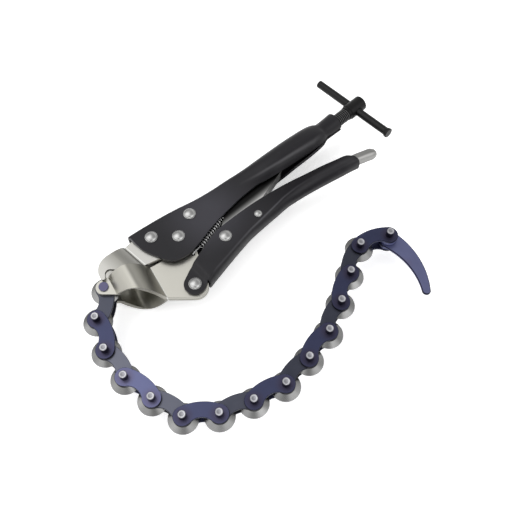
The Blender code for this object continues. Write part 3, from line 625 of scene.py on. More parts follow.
# painted shadow from the upper handle: darker towards the toggle's top edge
toggleNickel = nickel(
    "toggleNickel", (0.8, 0.795, 0.78), (0.88, 0.875, 0.86), 0.26,
    across=(0.314, 0.949), start=0.004, end=0.0122, deep=(0.008, 0.008, 0.008),
    stops=((0.0, 0.0), (0.24, 0.05), (0.42, 0.36), (0.62, 0.73), (0.85, 0.93), (1.0, 0.99)),
)
leverNickel = nickel("leverNickel", (0.32, 0.318, 0.309), (0.4, 0.397, 0.387), 0.24)
blued = bluedSteel()
pinFinish = plainSteel(
    "pinSteel", 0.95, (900, 2.0), ((0.014, 0.013, 0.026), (0.024, 0.022, 0.04)), (0.3, 0.1),
    faces=((0.5, 0.5, 0.53), (0.6, 0.6, 0.63)),
)
ground = groundSteel()
rivetFinish = plainSteel(
    "brightRivet", 1.0, (500, 3.0, 0.6), ((0.42, 0.42, 0.415), (0.54, 0.54, 0.535)), (0.16, 0.14),
    relief=(0.1, 0.00006),
)
oxide = blackOxide()
springFinish = plainSteel(
    "springSteel", 0.6, (700, 2.0), ((0.92, 0.92, 0.92), (1.0, 1.0, 1.0)), (0.2, 0.08),
)
print("Finishes made")


rivets = {
    "big": {"radius": 0.0025, "head": 0.0043, "height": 0.0021, "edge": 0.00045},
    "small": {"radius": 0.0016, "head": 0.0027, "height": 0.0014, "edge": 0.0003},
    "hole": 0.0002, "steps": 64, "domeShare": 0.93, "domeSteps": 14,
}


def rivetHead(size, low):
    dome = size["height"] - size["edge"]
    points = [(0, low + size["height"])]
    inner = size["head"] * rivets["domeShare"]
    for index in range(1, rivets["domeSteps"] + 1):
        angle = radians(90 * index / rivets["domeSteps"])
        points.append((inner * sin(angle), low + size["edge"] + dome * cos(angle)))
    rim = (size["head"] - inner) / 2
    points += arcPoints(size["head"] - rim, low + size["edge"] - rim, rim, 100, 0, 5)
    points += [(size["head"], low), (size["radius"], low)]
    return points


def makeRivet(node, body, matrix, half, size):
    profile = mirrored(rivetHead(size, half + gap / 2))
    made = settled(turned(node + "Dressed", profile, rivets["steps"]), 40)
    placed(made, matrix, body, rivetFinish, "bright_rivet", node)


front = plan(tool["frontPivot"])
nose = np.array((front[0] + base, tool["screwLine"] * base))
reach = nose - front
togglePlace = front + reach / np.linalg.norm(reach) * tool["handleLink"] * base
toggleLength = float(np.linalg.norm(nose - togglePlace))
toggleHeading = atan2(reach[1], reach[0])
releasePlace = plan(tool["releaseRivet"])
bodyRivets = [plan(tool["frontRivet"]), plan(tool["rearRivet"]), (0, 0)]
for node, body, place, half, size in (
    ("jaw_rivet_front", "plier_body", bodyRivets[0], handleHalf, "big"),
    ("jaw_rivet_rear", "plier_body", bodyRivets[1], handleHalf, "big"),
    ("pivot_rivet", "plier_body", bodyRivets[2], handleHalf, "big"),
    ("handle_rivet", "movable_jaw", front, lobeHalf, "big"),
    ("toggle_rivet", "lower_handle", togglePlace, lowerHalf, "big"),
    ("release_rivet", "lower_handle", releasePlace, lowerHalf, "small"),
):
    makeRivet(node, body, toolPlace(*place), half, rivets[size])
print("Rivets made")


def markPoints(made, name, values):
    attribute = made.data.attributes.new(name, "FLOAT", "POINT")
    attribute.data.foreach_set("value", np.resize(np.asarray(values, np.float32), len(made.data.vertices)))
    return made


def pointsOf(made):
    spots = np.empty(len(made.data.vertices) * 3, np.float32)
    made.data.vertices.foreach_get("co", spots)
    return spots.reshape(-1, 3).T


def holeTool(place, radius, half=0.022):
    profile = mirrored([(0, half), (radius, half)])
    made = fromShape("holeTool", turnShape(bmesh.new(), profile, 48, middle=tuple(place)))
    made.hide_render = True
    return made


def rivetHole(place, size="big"):
    return holeTool(place, rivets[size]["radius"] + rivets["hole"])


upperHandle = {
    "sections": (  # along, top, widest and edge height in base lengths, then half width and lip share
        (-0.256, 0.24, 0.208, 0.17), (-0.248, 0.241, 0.208, 0.095),
        (-0.228, 0.24, 0.207, 0.03), (-0.205, 0.238, 0.205, -0.022),
        (-0.184, 0.236, 0.203, -0.072), (-0.152, 0.233, 0.2, -0.113),
        (-0.105, 0.227, 0.195, -0.14), (-0.03, 0.218, 0.186, -0.151),
        (0.04, 0.208, 0.176, -0.141), (0.14, 0.19, 0.158, -0.114),
        (0.26, 0.165, 0.131, -0.087), (0.4, 0.148, 0.106, -0.068),
        (0.55, 0.139, 0.084, -0.055, 1.03, 1.02), (0.66, 0.131, 0.054, -0.055, 1.1, 1.06),
        (0.74, 0.127, 0.03, -0.068, 1.2, 1.0), (0.82, 0.125, 0.01, -0.078, 1.32, 0.94),
        (0.93, 0.121, -0.008, -0.084, 1.42, 0.8), (1.06, 0.116, -0.018, -0.089, 1.45, 0.6),
        (1.18, 0.108, -0.028, -0.094, 1.42, 0.48), (1.27, 0.1, -0.034, -0.092, 1.32, 0.4),
        (1.33, 0.088, -0.034, -0.086, 1.16, 0.34),
    ),
    "power": 2.6, "points": 12, "sidePoints": 4,
    "neck": 1.372, "neckRadius": 0.0072, "endRadius": 0.0075, "collarRise": 0.00035, "slot": radians(9),
    "spacing": 0.0024, "bevel": (0.00035, 3, 50, 35),
}


def quarter(power, count):  # a rounded corner, squarer with a larger power
    angles = [pi / 2 * index / count for index in range(1, count + 1)]
    return [(cos(angle) ** (2 / power), sin(angle) ** (2 / power)) for angle in angles]


def upperSection(along, top, widest, edge, half, lip):
    side = []
    for index in range(upperHandle["sidePoints"] + 1):
        share = index / upperHandle["sidePoints"]
        side.append((edge + (widest - edge) * share, lip + (half - lip) * sin(share * pi / 2)))
    for across, rise in quarter(upperHandle["power"], upperHandle["points"]):
        side.append((widest + (top - widest) * rise, half * across))
    left = [(along, height, across) for height, across in side]
    return left + [(along, height, -across) for height, across in side[-2::-1]]


def collarSection(along, centre, radius, slot):
    count = 2 * (upperHandle["points"] + upperHandle["sidePoints"])
    angles = [slot + (2 * pi - 2 * slot) * index / count for index in range(count + 1)]
    return [(along, centre - radius * cos(angle), radius * sin(angle)) for angle in angles]


def makeUpperHandle():
    rings = []
    for row in upperHandle["sections"]:
        *places, half, lip = row if len(row) == 6 else (*row, 1.0, 1.0)
        rings.append(upperSection(*plan(places), half * handleHalf, lip * handleHalf))
    centre = tool["screwLine"] * base + upperHandle["collarRise"]
    neck, end = upperHandle["neck"] * base, tool["collarEnd"] * base
    slot, narrow = upperHandle["slot"], upperHandle["neckRadius"]
    rings.append(collarSection(neck, centre, narrow, slot * 2))
    rings.append(collarSection((neck * 2 + end) / 3, centre, narrow, slot))
    rings.append(collarSection(end, centre, upperHandle["endRadius"], slot))
    made = skin("upperHandleShell", dense(rings, upperHandle["spacing"])[1], tool["handleWall"])
    holes = [rivetHole(place) for place in bodyRivets]
    rimMark(drilled(made, holes, upperHandle["bevel"]), "shell")
    placed(made, toolMatrix, "plier_body", black, "black_satin_coat", "upper_handle")


makeUpperHandle()

lug = {
    "place": (0.52, 0.01), "top": 0.13, "thick": 0.0016, "half": 0.001, "bevel": (0.0002, 2, 40, 30),
}


def makeLug():
    x, low = plan(lug["place"])
    high = lug["top"] * base
    left, right = x - lug["thick"] / 2, x + lug["thick"] / 2
    made = flat("springLug", [(left, low), (right, low), (right, high), (left, high)], lug["half"])
    placed(drilled(made, [], lug["bevel"]), toolMatrix, "plier_body", black, "black_satin_coat")


makeLug()
print("Upper handle made")


jaws = {
    "boss": 0.0085, "tab": 0.0053, "frontBoss": 0.0089,
    "tunnelWidth": 0.0274, "crown": 0.0176, "power": 1.9,
    "crease": (-0.552, 0.0065), "creaseHeading": radians(-102.2),
    "tunnelRear": ((-0.281, -0.035), (-0.538, 0.074)), "notch": (-0.198, 0.006), "notchRadius": 0.0056,
    "fixedBoss": 0.009, "rearBoss": 0.007, "frontRivetBoss": 0.0085,
    "slotRadius": 0.0031, "hookRadius": 0.0117, "beakRadius": 0.0013, "foldRadius": 0.0006,
    "fixedLower": ((-0.464, 0.064), (-0.31, -0.001), (-0.197, -0.038)), "fixedTop": (-0.323, 0.184),
    "hookCentre": (-0.465, 0.075), "beak": (-0.568, 0.076), "slot": (-0.516, 0.074),
    "fixedCrease": (-0.307, 0.002), "fixedHeading": radians(-84.6), "riseWidth": 0.01,
    "springHole": 0.0013, "bevel": (0.00025, 2, 50, 28), "tunnelRows": 40,
    "riseRows": (0, 0.05, 0.12, 0.2, 0.3, 0.42, 0.55, 0.7, 0.85, 1.0),
}


def fixedOutline():
    low, fold, back = jaws["fixedLower"]
    return belt([
        cornerAt(low), cornerAt(fold, jaws["foldRadius"]), cornerAt(back), (0, 0, jaws["fixedBoss"]),
        cornerAt(tool["rearRivet"], jaws["rearBoss"]), cornerAt(tool["frontRivet"], jaws["frontRivetBoss"]),
        cornerAt(jaws["fixedTop"]), cornerAt(jaws["hookCentre"], jaws["hookRadius"]),
        cornerAt(jaws["beak"], jaws["beakRadius"]), cornerAt(jaws["slot"], -jaws["slotRadius"]),
    ])


def movableOutline():
    low, high = jaws["tunnelRear"]
    return belt([
        cornerAt(tool["anchor"], jaws["tab"]), (*front, jaws["frontBoss"]), (0, 0, jaws["boss"]),
        cornerAt(jaws["notch"], -jaws["notchRadius"]), cornerAt(low), cornerAt(high),
    ])


tunnelRise = min(
    (jaws["crown"] - tabHigh - (movableHigh - tabHigh) * share) / (1 - abs(2 * share - 1) ** jaws["power"])
    for share in np.linspace(0.2, 0.8, 61)
)


def tunnelLevel(distance):
    share = max(0.0, min(1.0, distance / jaws["tunnelWidth"]))
    straight = tabHigh + (movableHigh - tabHigh) * share
    return straight + tunnelRise * (1 - abs(2 * share - 1) ** jaws["power"])


def hookLevel(distance):
    share = max(0.0, min(1.0, -distance / jaws["riseWidth"]))
    return fixedHigh + (hookHigh - fixedHigh) * sqrt(1 - (1 - share) ** 2)


def bentPlate(name, outline, side, origin, heading, lines, level, holes):
    across = Vector((-sin(heading), cos(heading), 0))
    start = Vector((*origin, 0))
    shape = bmesh.new()
    shape.faces.new([shape.verts.new((x, y, 0)) for x, y in outline])
    for line in lines:
        bmesh.ops.bisect_plane(
            shape, geom=list(shape.verts) + list(shape.edges) + list(shape.faces), dist=1e-6,
            plane_co=start + across * line, plane_no=across,
        )
    for vert in shape.verts:
        vert.co.z = side * level((vert.co - start).dot(across))
    bmesh.ops.recalc_face_normals(shape, faces=shape.faces)
    up = sum(face.normal.z * face.calc_area() for face in shape.faces)
    if up * side < 0:
        bmesh.ops.reverse_faces(shape, faces=shape.faces)
    made = bareShape(name, shape)
    modify(made, "SOLIDIFY", thickness=tool["jawPlate"], offset=-1, solidify_mode="NON_MANIFOLD",
           nonmanifold_thickness_mode="CONSTRAINTS")
    return rimMark(drilled(made, holes, jaws["bevel"]), "shell")


fixedHoles = [rivetHole(place) for place in bodyRivets]
movableHoles = [rivetHole(front), fixedHoles[2], holeTool(plan(tool["springHole"]), jaws["springHole"])]
riseLines = [-jaws["riseWidth"] * share for share in jaws["riseRows"]]
tunnelLines = [jaws["tunnelWidth"] * index / jaws["tunnelRows"] for index in range(jaws["tunnelRows"] + 1)]
for side, word in ((1, "upper"), (-1, "lower")):
    made = bentPlate("fixedJaw" + word.title(), fixedOutline(), side, plan(jaws["fixedCrease"]),
                     jaws["fixedHeading"], riseLines, hookLevel, fixedHoles)
    placed(made, toolMatrix, "plier_body", fixedNickel, "satin_nickel", "fixed_jaw_" + word)
    made = bentPlate("movableJaw" + word.title(), movableOutline(), side, plan(jaws["crease"]),
                     jaws["creaseHeading"], tunnelLines, tunnelLevel, movableHoles)
    placed(made, toolMatrix, "movable_jaw", movableNickel, "satin_nickel", "movable_jaw_" + word)
print("Jaws made")


lowerHandle = {
    "lobe": ((-0.214, 0.022), (-0.204, 0.041), (-0.188, 0.058), (-0.165, 0.071)),
    "sections": (
        (-0.135, -0.252, -0.409, -0.409, 0.0), (-0.105, -0.237, -0.402, -0.402, 0.0),
        (-0.08, -0.228, -0.386, -0.386, 0.05), (-0.062, -0.221, -0.374, -0.403, 0.5),
        (-0.04, -0.214, -0.367, -0.398, 0.98), (0.04, -0.189, -0.351, -0.38, 1.0),
        (0.14, -0.156, -0.331, -0.358, 1.0), (0.26, -0.135, -0.308, -0.334, 1.0),
        (0.4, -0.137, -0.283, -0.312, 1.0), (0.53, -0.143, -0.269, -0.307, 1.0),
        (0.63, -0.153, -0.258, -0.305, 1.01), (0.74, -0.168, -0.25, -0.301, 1.03),
        (0.86, -0.189, -0.252, -0.313, 1.05), (0.98, -0.216, -0.268, -0.331, 1.07),
        (1.12, -0.247, -0.299, -0.357, 1.09), (1.24, -0.279, -0.326, -0.381, 1.1),
        (1.32, -0.302, -0.348, -0.396, 1.09), (1.365, -0.348, -0.374, -0.404, 1.04),
    ),
    "sidePoints": 4, "spineStart": -0.062, "power": 2.2, "points": 12,
    "spacing": 0.0024, "bevel": (0.00035, 3, 50, 35),
}


def channelSection(along, edge, shoulder, spine, half, power, points):
    steps = lowerHandle["sidePoints"]
    side = [(edge + (shoulder - edge) * index / steps, half) for index in range(steps + 1)]
    for across, rise in quarter(power, points):
        side.append((shoulder + (spine - shoulder) * rise, half * across))
    far = [(along, height, -across) for height, across in side[:-1]]
    return far + [(along, height, across) for height, across in side[-2::-1]]


def makeLowerHandle():
    rings = []
    curve = lowerHandle["power"], lowerHandle["points"]
    for along, chord in lowerHandle["lobe"]:
        high, low = front[1] + chord * base, front[1] - chord * base
        rings.append(channelSection(along * base, high, low, low, lobeHalf, *curve))
    for *places, share in lowerHandle["sections"]:
        rings.append(channelSection(*plan(places), lobeHalf + (lowerHalf - lobeHalf) * share, *curve))
    at, smoothRings = dense(rings, lowerHandle["spacing"])
    last, side = smoothRings.shape[1] - 1, lowerHandle["sidePoints"]
    spineStart = lowerHandle["spineStart"] * base

    def skip(index, place):  # the two lobes have no spine between them
        return at[index + 1] <= spineStart + 1e-7 and side <= place < last - side

    made = skin("lowerHandleShell", smoothRings, tool["handleWall"], skip)
    holes = [rivetHole(front), rivetHole(togglePlace), rivetHole(releasePlace, "small")]
    rimMark(drilled(made, holes, lowerHandle["bevel"]), "shell")
    placed(made, toolMatrix, "lower_handle", black, "black_satin_coat", "lower_handle")


makeLowerHandle()
print("Lower handle made")


toggle = {
    "edge": 0.0074, "heel": 0.0054, "shoulder": (0.24, 0.07), "shoulderRadius": 0.0085,
    "neck": (0.09, 0.15), "neckRadius": 0.007, "wall": 0.0016, "over": 0.004,
    "noseArc": (-83.5, 40, 19), "bevel": (0.00025, 2, 40, 30),
}


def makeToggle():
    length, edge, over = toggleLength, toggle["edge"], toggle["over"]
    shoulder = plan(toggle["shoulder"])
    outline = belt([
        (0, 0, toggle["heel"]), (length, 0, edge), (*shoulder, toggle["shoulderRadius"]),
        cornerAt(toggle["neck"], -toggle["neckRadius"]),
    ], radians(4))
    half = tool["toggleHalf"]
    made = flat("toggleChannel", outline, half)
    inside, heelInside = edge - toggle["wall"], toggle["heel"] - toggle["wall"]
    rear, top = -edge - over, shoulder[1] + toggle["shoulderRadius"] + over
    hollow = [(rear, -heelInside), (0, -heelInside), (length, -inside)]
    hollow += arcPoints(length, 0, inside, *toggle["noseArc"])
    hollow += [(length - inside, edge + over), (length - inside, top), (rear, top)]
    holes = [flat("hollowTool", hollow, half - toggle["wall"]), rivetHole((0, 0))]
    rimMark(drilled(made, holes, toggle["bevel"]), "shell")
    matrix = toolPlace(*togglePlace, 0, toggleHeading)
    placed(made, matrix, "toggle_link", toggleNickel, "satin_nickel", "toggle_link")


makeToggle()

releaseLever = {
    "sections": (
        (0.489, -0.214, -0.232, -0.252, 1.0), (0.519, -0.205, -0.234, -0.258, 1.0),
        (0.57, -0.192, -0.228, -0.252, 1.0), (0.61, -0.184, -0.222, -0.249, 1.0),
        (0.7, -0.196, -0.222, -0.246, 1.0), (0.85, -0.212, -0.238, -0.264, 1.0),
        (1.0, -0.242, -0.266, -0.294, 1.02), (1.15, -0.272, -0.302, -0.33, 1.02),
        (1.28, -0.302, -0.334, -0.362, 1.02), (1.37, -0.322, -0.35, -0.388, 1.02),
        (1.4, -0.33, -0.356, -0.4, 1.02), (1.45, -0.347, -0.37, -0.416, 1.02),
        (1.505, -0.366, -0.388, -0.432, 0.98), (1.528, -0.39, -0.404, -0.426, 0.8),
    ),
    "half": 0.0045, "wall": 0.0012, "power": 2.0, "points": 10, "spacing": 0.003,
    "bevel": (0.00025, 2, 50, 35),
}


def makeReleaseLever():
    rings = []
    for *places, share in releaseLever["sections"]:
        rings.append(channelSection(*plan(places), releaseLever["half"] * share,
                                    releaseLever["power"], releaseLever["points"]))
    made = skin("releaseLeverShell", dense(rings, releaseLever["spacing"])[1], releaseLever["wall"])
    drilled(made, [rivetHole(releasePlace, "small")], releaseLever["bevel"])
    placed(made, toolMatrix, "release_lever", leverNickel, "satin_nickel", "release_lever")


makeReleaseLever()
print("Toggle link and release lever made")


screw = {
    "radius": 0.0049, "root": 0.004, "tipRadius": 0.0026, "tipLength": 0.003, "tipCorner": 0.0002,
    "noseGap": 0.001, "lead": 0.0015, "crest": 0.3, "flank": 0.22, "rootEnd": 0.78, "rowsPerLead": 10,
    "showing": 0.012, "threadStart": 0.03, "runIn": 0.0006, "turnSteps": 48, "sharp": 28,
    "crestDepth": 0.0001, "rootDepth": 0.0002,
    "barrel": 0.0059, "barrelLength": 0.0168, "chamfer": 0.0009, "step": 0.0053, "stepLength": 0.0022,
    "corner": 0.0003, "bevel": (0.0002, 2, 50, 30), "tilt": radians(-4.6),
}
bar = {
    "radius": 0.003, "length": 0.0715, "plainExtra": 0.0012, "flare": 0.0038, "flareLength": 0.0026,
    "flareCorner": 0.0004, "plainCorner": 0.0006, "holeHalf": 0.012,
}


def threadDepth(phase):  # share of the depth over one lead: crest, flank, root, flank
    phase = phase % 1.0
    if phase < screw["crest"]:
        return 0.0
    if phase < screw["crest"] + screw["flank"]:
        return (phase - screw["crest"]) / screw["flank"]
    return 1.0 if phase < screw["rootEnd"] else (1.0 - phase) / screw["flank"]


def makeRod(length, matrix):
    steps, wide, root, start = screw["turnSteps"], screw["radius"], screw["root"], screw["threadStart"]
    rows = int(round((length - start) / screw["lead"] * screw["rowsPerLead"]))
    tip, corner = screw["tipRadius"], screw["tipCorner"]
    shape = bmesh.new()
    rings = [[shape.verts.new((0, 0, 0))] * steps]
    for radius, height in ((tip, 0.0), (tip + corner, corner), (wide, screw["tipLength"]),
                           (wide, start - screw["runIn"])):
        rings.append(ringAt(shape, [radius] * steps, height))
    for row in range(rows + 1):
        height = start + (length - start) * row / rows
        fade = min(1.0, row / screw["rowsPerLead"] / 2, (rows - row) / screw["rowsPerLead"] + 0.6)
        depths = [threadDepth(height / screw["lead"] - index / steps) * fade for index in range(steps)]
        rings.append(ringAt(shape, [wide - (wide - root) * depth for depth in depths], height))
    rings.append([shape.verts.new((0, 0, length))] * steps)
    made = settled(fromShape("threadedRod", joinRings(shape, rings)), screw["sharp"])
    x, y, z = pointsOf(made)
    radial, threaded = np.hypot(x, y), z > start
    markPoints(made, "crest", (radial > wide - screw["crestDepth"]) & threaded)
    markPoints(made, "root", (radial < root + screw["rootDepth"]) & threaded & (radial > root / 2))
    placed(made, matrix, "adjusting_screw", oxide, "black_oxide_steel", "adjusting_screw")


def makeBarrel(middle, lying, matrix):
    low, high, chamfer, wide = gap, gap + screw["barrelLength"], screw["chamfer"], screw["barrel"]
    ledge, step, corner = low + screw["stepLength"], screw["step"], screw["corner"]
    profile = [(0, high), (wide - chamfer - corner, high)]
    profile += arcPoints(wide - chamfer, high - chamfer, chamfer, 85, 5, 6)
    profile += [(wide, high - chamfer - 0.0002), (wide, ledge + corner), (wide - corner, ledge),
                (step, ledge), (step, low + corner), (step - corner, low), (0, low)]
    hole = holeTool((0, 0), bar["radius"] + gap, bar["holeHalf"])
    hole.matrix_world = middle @ lying
    made = drilled(turned("barrelHead", profile, 96), [hole], screw["bevel"])
    placed(made, matrix, "screw_head", oxide, "black_oxide_steel", "screw_head")


def makeBar(matrix):
    half, rod, flare = bar["length"] / 2, bar["radius"], bar["flare"]
    end, neck = -half - bar["plainExtra"], half - bar["flareLength"]
    curve, plain = bar["flareCorner"], bar["plainCorner"]
    profile = [(0, half), (flare - curve - 0.0001, half)]
    profile += arcPoints(flare - curve, half - curve, curve, 85, 0, 4)
    profile += [(flare, half - bar["flareLength"] * 0.4), (rod + curve, neck), (rod, neck - plain),
                (rod, end + plain + 0.0001)]
    profile += arcPoints(rod - plain, end + plain, plain, 0, -85, 5)
    made = settled(turned("crossBar", profile + [(0, end)], 48))
    placed(made, matrix, "tommy_bar", oxide, "black_oxide_steel", "tommy_bar")


def makeScrew():
    tip = nose[0] + toggle["edge"] + screw["noseGap"]
    length = tool["collarEnd"] * base + screw["showing"] - tip
    slide = toolPlace(tip, tool["screwLine"] * base) @ spin(radians(90), "Y")
    turn = slide @ Matrix.Translation((0, 0, length)) @ spin(screw["tilt"])
    middle = Matrix.Translation((0, 0, gap + screw["barrelLength"] / 2))
    lying = spin(radians(90), "X")
    makeRod(length, slide)
    makeBarrel(middle, lying, turn)
    makeBar(turn @ middle @ lying)


makeScrew()
print("Screw made")


chain = {
    "pitch": 0.022, "boss": 0.006, "crown": 0.0082, "waist": 0.0014, "bevel": (0.00058, 2, 40, 30),
    "bushWall": 0.0008, "pinHalf": 0.01175, "chamfer": 0.00045, "corner": 0.0002,
    "dimple": ((0, 0.00012), (0.5, 0.0001), (0.62, 0)),  # share of the pin's radius, and depth
    "wheel": 0.0096, "wheelHub": 0.0048, "wheelEdge": 0.00012, "wheelTurn": 0.7,
    "spacer": 0.0058, "hookBoss": 0.007, "hookTip": 0.0029, "hookReach": 0.0447,
    "hookCrown": 0.0104, "hookWaist": -0.0004, "hookHalf": 0.001, "hookTurn": radians(-82.3),
    "anchorHead": 0.0032, "anchorHeight": 0.0011,
    # painted light: each link's level, lighter or darker as light falls on it, then the hook, spacers and
    # anchor
    "paintedLightLevels": (0.26, 0.16, 0.84, 1.02, 0.7, 0.28, 0.2, 0.1, 0.02, 0.06, 0.04, 0.05, 0.04, 0.08),
    "hookPaintedLight": 1.35, "spacerPaintedLight": 0.9, "anchorPaintedLight": 0.85,
}
pinSpots = [Vector(jointOf[f"chain_joint_{index}"]["pos_m"]) for index in range(1, 15)]
pinSpots.append(Vector(jointOf["hook_hinge"]["pos_m"]))
bushBore = tool["pinRadius"] + gap
bushRadius = bushBore + chain["bushWall"]


def linkPlates(name, low, high, tint, grey):
    outline = crescent(chain["pitch"], chain["boss"], chain["boss"], chain["crown"], chain["waist"])
    shape = plateShape(bmesh.new(), outline, low, high)
    made = fromShape(name, plateShape(shape, outline, -high, -low))
    rimMark(drilled(made, [], chain["bevel"]), "chain")
    markPoints(made, "grey", float(grey))
    return markPoints(made, "tint", tint)


def pinProfile(radius, half, chamfer):
    dimple = [(radius * share, half - depth) for share, depth in chain["dimple"]]
    return mirrored(dimple + [(radius - chamfer, half), (radius, half - chamfer)])


def makeLink(index):
    inner, number = index % 2 == 0, index // 2 + 1
    word, low, high = ("inner", innerLow, innerHigh) if inner else ("outer", outerLow, outerHigh)
    node = f"{word}_link_{number}"
    start, end = pinSpots[index], pinSpots[index + 1]
    heading = atan2(end.y - start.y, end.x - start.x)
    matrix = Matrix.Translation(start) @ spin(heading)
    plates = linkPlates(f"{word}Plates{number}", low, high, chain["paintedLightLevels"][index], inner)
    placed(plates, matrix, node, blued, "blued_steel", node)
    radius, half, pitch = tool["pinRadius"], (low + high) / 2, chain["pitch"]
    if inner:
        steps, profile = 40, [(bushRadius, half), (bushRadius, -half), (bushBore, -half), (bushBore, half)]
    else:
        steps, profile = 48, pinProfile(radius, chain["pinHalf"], chain["chamfer"])
    shape = bmesh.new()
    for place in (0, pitch):
        turnShape(shape, profile, steps, inner, (place, 0))
    made = settled(fromShape(("bushes" if inner else "longPins") + str(number), shape))
    top = 0.0
    if not inner:  # bright ends with a darker dimple
        x, y, z = pointsOf(made)
        radial = np.minimum(np.hypot(x, y), np.hypot(x - pitch, y))
        ends = np.abs(z) > chain["pinHalf"] - chain["chamfer"] * 0.5
        top = ends * np.where(radial > radius * 0.55, 1.0, 0.55)
    markPoints(made, "top", top)
    placed(made, matrix, node, pinFinish, "blued_steel")


def makeWheel(number):
    hub, half, edge, wide = chain["wheelHub"], tool["hubHalf"], chain["wheelEdge"], chain["wheel"]
    bore, corner = bushRadius + gap, chain["corner"]
    profile = [(bore, half - corner), (bore + corner, half), (hub, half)]
    for index in range(1, 9):
        profile.append((hub + (wide - hub) * index / 8, half + (edge - half) * index / 8))
    made = settled(turned(f"wheelDisc{number}", mirrored(profile), 96, True), 25)
    x, y, z = pointsOf(made)
    angle = np.arctan2(y, x)
    markPoints(made, "radius", np.hypot(x, y))
    # painted reflection: light and dark wedges round each wheel
    wedge = 0.5 + 0.3 * np.cos(2 * angle + 0.6) + 0.2 * np.cos(5 * angle + 1.1)
    markPoints(made, "wedge", np.clip(wedge, 0, 1))
    matrix = Matrix.Translation(pinSpots[number - 1]) @ spin(chain["wheelTurn"] * number)
    placed(made, matrix, f"cutting_wheel_{number}", ground, "ground_steel", f"cutting_wheel_{number}")


for index in range(14):
    makeLink(index)
for number in range(1, 15):
    makeWheel(number)
print("Chain links and wheels made")


def makeHook():
    start, tail, half = pinSpots[14], pinSpots[13], chain["hookHalf"]
    heading = atan2(start.y - tail.y, start.x - tail.x) + chain["hookTurn"]
    outline = crescent(*(chain["hook" + name] for name in ("Reach", "Boss", "Tip", "Crown", "Waist")))
    made = drilled(flat("hookBlade", outline, half), [holeTool((0, 0), bushBore)], chain["bevel"])
    rimMark(made, "chain")
    markPoints(made, "tint", chain["hookPaintedLight"])
    matrix = Matrix.Translation(start) @ spin(heading)
    placed(made, matrix, "hook_blade", blued, "blued_steel", "hook_blade")
    thick = (outerLow - half - gap * 3) / 2
    wide, corner = chain["spacer"], chain["corner"]
    profile = mirrored([(bushBore, thick / 2), (wide - corner, thick / 2), (wide, thick / 2 - corner)])
    for number, (side, layer) in enumerate(((1, 0), (1, 1), (-1, 0), (-1, 1)), 1):
        made = settled(turned(f"spacerDisc{number}", profile, 64, True))
        markPoints(made, "tint", chain["spacerPaintedLight"])
        height = half + gap + layer * (thick + gap) + thick / 2
        place = Matrix.Translation(start) @ Matrix.Translation((0, 0, side * height))
        placed(made, place, "outer_link_7", blued, "blued_steel", f"spacer_washer_{number}")


def makeAnchor():
    low, head, corner = tabHigh + gap / 2, chain["anchorHead"], chain["corner"]
    high = low + chain["anchorHeight"]
    profile = [(0, high), (head - corner, high), (head, high - corner), (head, low),
               (tool["pinRadius"], low)]
    made = settled(turned("anchorPin", mirrored(profile), 64))
    markPoints(made, "tint", chain["anchorPaintedLight"])
    placed(made, Matrix.Translation(pinSpots[0]), "movable_jaw", blued, "blued_steel", "chain_anchor_pin")


makeHook()
makeAnchor()
print("Chain ends made")


spring = {
    "wire": 0.00046, "coil": 0.0017, "pitch": 0.0021, "coils": 16, "points": 24,
    "start": (0.075, -0.136), "slope": 0.29, "hookShare": 0.9,
    "eyeRadius": 0.0021, "eyeStart": -160, "eyeTurn": 270, "eyePoints": 22,
}


def springPath():
    slope, wire, coil = atan(spring["slope"]), spring["wire"], spring["coil"]
    along = np.array((cos(slope), sin(slope), 0))
    side = np.array((-sin(slope), cos(slope), 0))
    up = np.array((0, 0, 1.0))
    first, hook = np.array((*plan(spring["start"]), 0)), np.array((*plan(tool["springHole"]), 0))
    over = movableHigh + wire + gap / 2
    points = [hook - up * over, hook + up * (over - wire * 2),
              hook + up * (over - wire * 0.6) + along * wire * 0.6, hook + up * over + along * wire * 2,
              first + up * over * spring["hookShare"] - along * spring["pitch"]]
    for index in range(spring["coils"] * spring["points"] + 1):
        turn = 2 * pi * index / spring["points"]
        centre = first + along * spring["pitch"] * index / spring["points"]
        points.append(centre + (up * cos(turn) + side * sin(turn)) * coil)
    x, y = plan(lug["place"])
    eye = np.array((x, y + coil * 2, 0))
    for index in range(spring["eyePoints"]):
        turn = radians(spring["eyeStart"] + spring["eyeTurn"] * index / (spring["eyePoints"] - 1))
        points.append(eye + np.array((cos(turn), 0, -sin(turn))) * spring["eyeRadius"])
    return points


def makeSpring():
    curve = bpy.data.curves.new("springWire", "CURVE")
    curve.dimensions = "3D"
    curve.bevel_depth = spring["wire"]
    curve.bevel_resolution = 3
    curve.use_fill_caps = True
    points = springPath()
    spline = curve.splines.new("POLY")
    spline.points.add(len(points) - 1)
    for item, point in zip(spline.points, points):
        item.co = (*point, 1.0)
    path = added("springWire", curve)
    made = added("springWireMesh", builtMesh(path))
    bpy.data.objects.remove(path, do_unlink=True)
    made.data.shade_smooth()
    placed(made, toolMatrix, "movable_jaw", springFinish, "spring_steel", "tension_spring")


makeSpring()
print("Spring made")


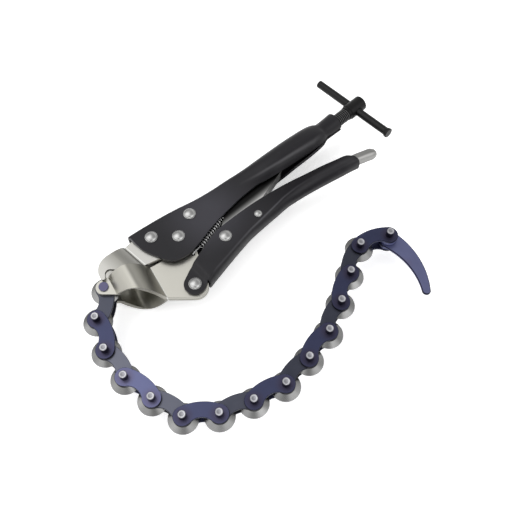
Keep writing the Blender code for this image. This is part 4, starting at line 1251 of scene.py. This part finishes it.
studio = {
    "floor": 0.6, "floorDrop": 0.0004, "plain": 1.0, "lift": 0.4,
    "zones": (  # direction, full within, gone beyond (degrees), level
        ((-0.6, 0.05, 0.8), 8, 50, 1.35), ((-0.34, 0.4, 0.85), 9, 27, 2.1),
        ((0.42, 0.48, 0.78), 8, 44, 0.46), ((-0.45, 0.85, 0.35), 10, 48, 0.5),
        ((0.6, 0.75, 0.12), 12, 52, 0.8), ((0.95, -0.1, 0.2), 10, 40, 0.85),
        ((0.0, -0.5, 0.87), 9, 20, 0.4), ((0.55, -0.35, 0.75), 8, 26, 1.6),
        ((0.0, -0.94, 0.34), 5, 15, 2.4),
    ),
    "lamps": (
        ("keyLamp", (-0.5, 0.35, 0.75), 0.5, 2.6), ("fillLamp", (0.6, -0.45, 0.7), 0.6, 0.9),
    ),
    "camera": (0.0524, -0.2173, 0.39765), "tilt": radians(27.364), "lens": 46.41, "sensor": 36.0,
}


def makeFloor():
    shape = bmesh.new()
    bmesh.ops.create_circle(shape, cap_ends=True, segments=96, radius=studio["floor"])
    floor = bareShape("paleFloor", shape)
    floor.location.z = -studio["floorDrop"]
    made = Finish("paleFloorPaint", Roughness=0.9, Specular_IOR_Level=0.1)
    path = made.node("LightPath", out=0)
    grain = made.noise(60, 2.0)
    made.set("Base Color", made.mix(grain, (0.97, 0.97, 0.97), (0.99, 0.99, 0.99)))
    made.set("Emission Color", made.mix(path, (0.0, 0.0, 0.0), (studio["lift"],) * 3))
    made.set("Emission Strength", 1.0)
    floor.data.materials.append(made.material)


def makeSky():
    world = bpy.data.worlds.new("softStudio")
    bpy.context.scene.world = world
    world.use_nodes = True
    sky = Nodes(world.node_tree, "Background")
    aim = sky.node("VectorMath", {"operation": "NORMALIZE"}, {0: sky.node("TexCoord")})
    level = studio["plain"]
    for place, near, far, bright in studio["zones"]:
        facing = sky.vector("DOT_PRODUCT", aim, Vector(place).normalized())
        mask = sky.smoothed(facing, cos(radians(far)), cos(radians(near)))
        level = mask * bright + (1.0 - mask) * level
    path = sky.node("LightPath", out=0)
    sky.set("Color", (1.0, 1.0, 1.0))
    sky.set("Strength", path + (1.0 - path) * level)


def makeLamps():
    for name, place, size, power in studio["lamps"]:
        lamp = bpy.data.lights.new(name, "AREA")
        lamp.shape, lamp.size, lamp.energy = "DISK", size, power
        made = added(name, lamp)
        made.location = place
        made.rotation_euler = (-Vector(place)).to_track_quat("-Z", "Y").to_euler()
        made.visible_glossy = False  # what the metal mirrors is the sky alone


def makeCamera():
    lens = bpy.data.cameras.new("photoCamera")
    lens.sensor_width, lens.lens = studio["sensor"], studio["lens"]
    made = added("photoCamera", lens)
    made.location = [start + step for start, step in zip(pivot, studio["camera"])]
    made.rotation_euler = (studio["tilt"], 0, 0)
    bpy.context.scene.camera = made


makeFloor()
makeSky()
makeLamps()
makeCamera()
bpy.context.scene.view_settings.view_transform = "Standard"
print("Studio made")

for item in [item for item in bpy.data.objects if item.name.startswith(("holeTool", "hollowTool"))]:
    bpy.data.objects.remove(item, do_unlink=True)
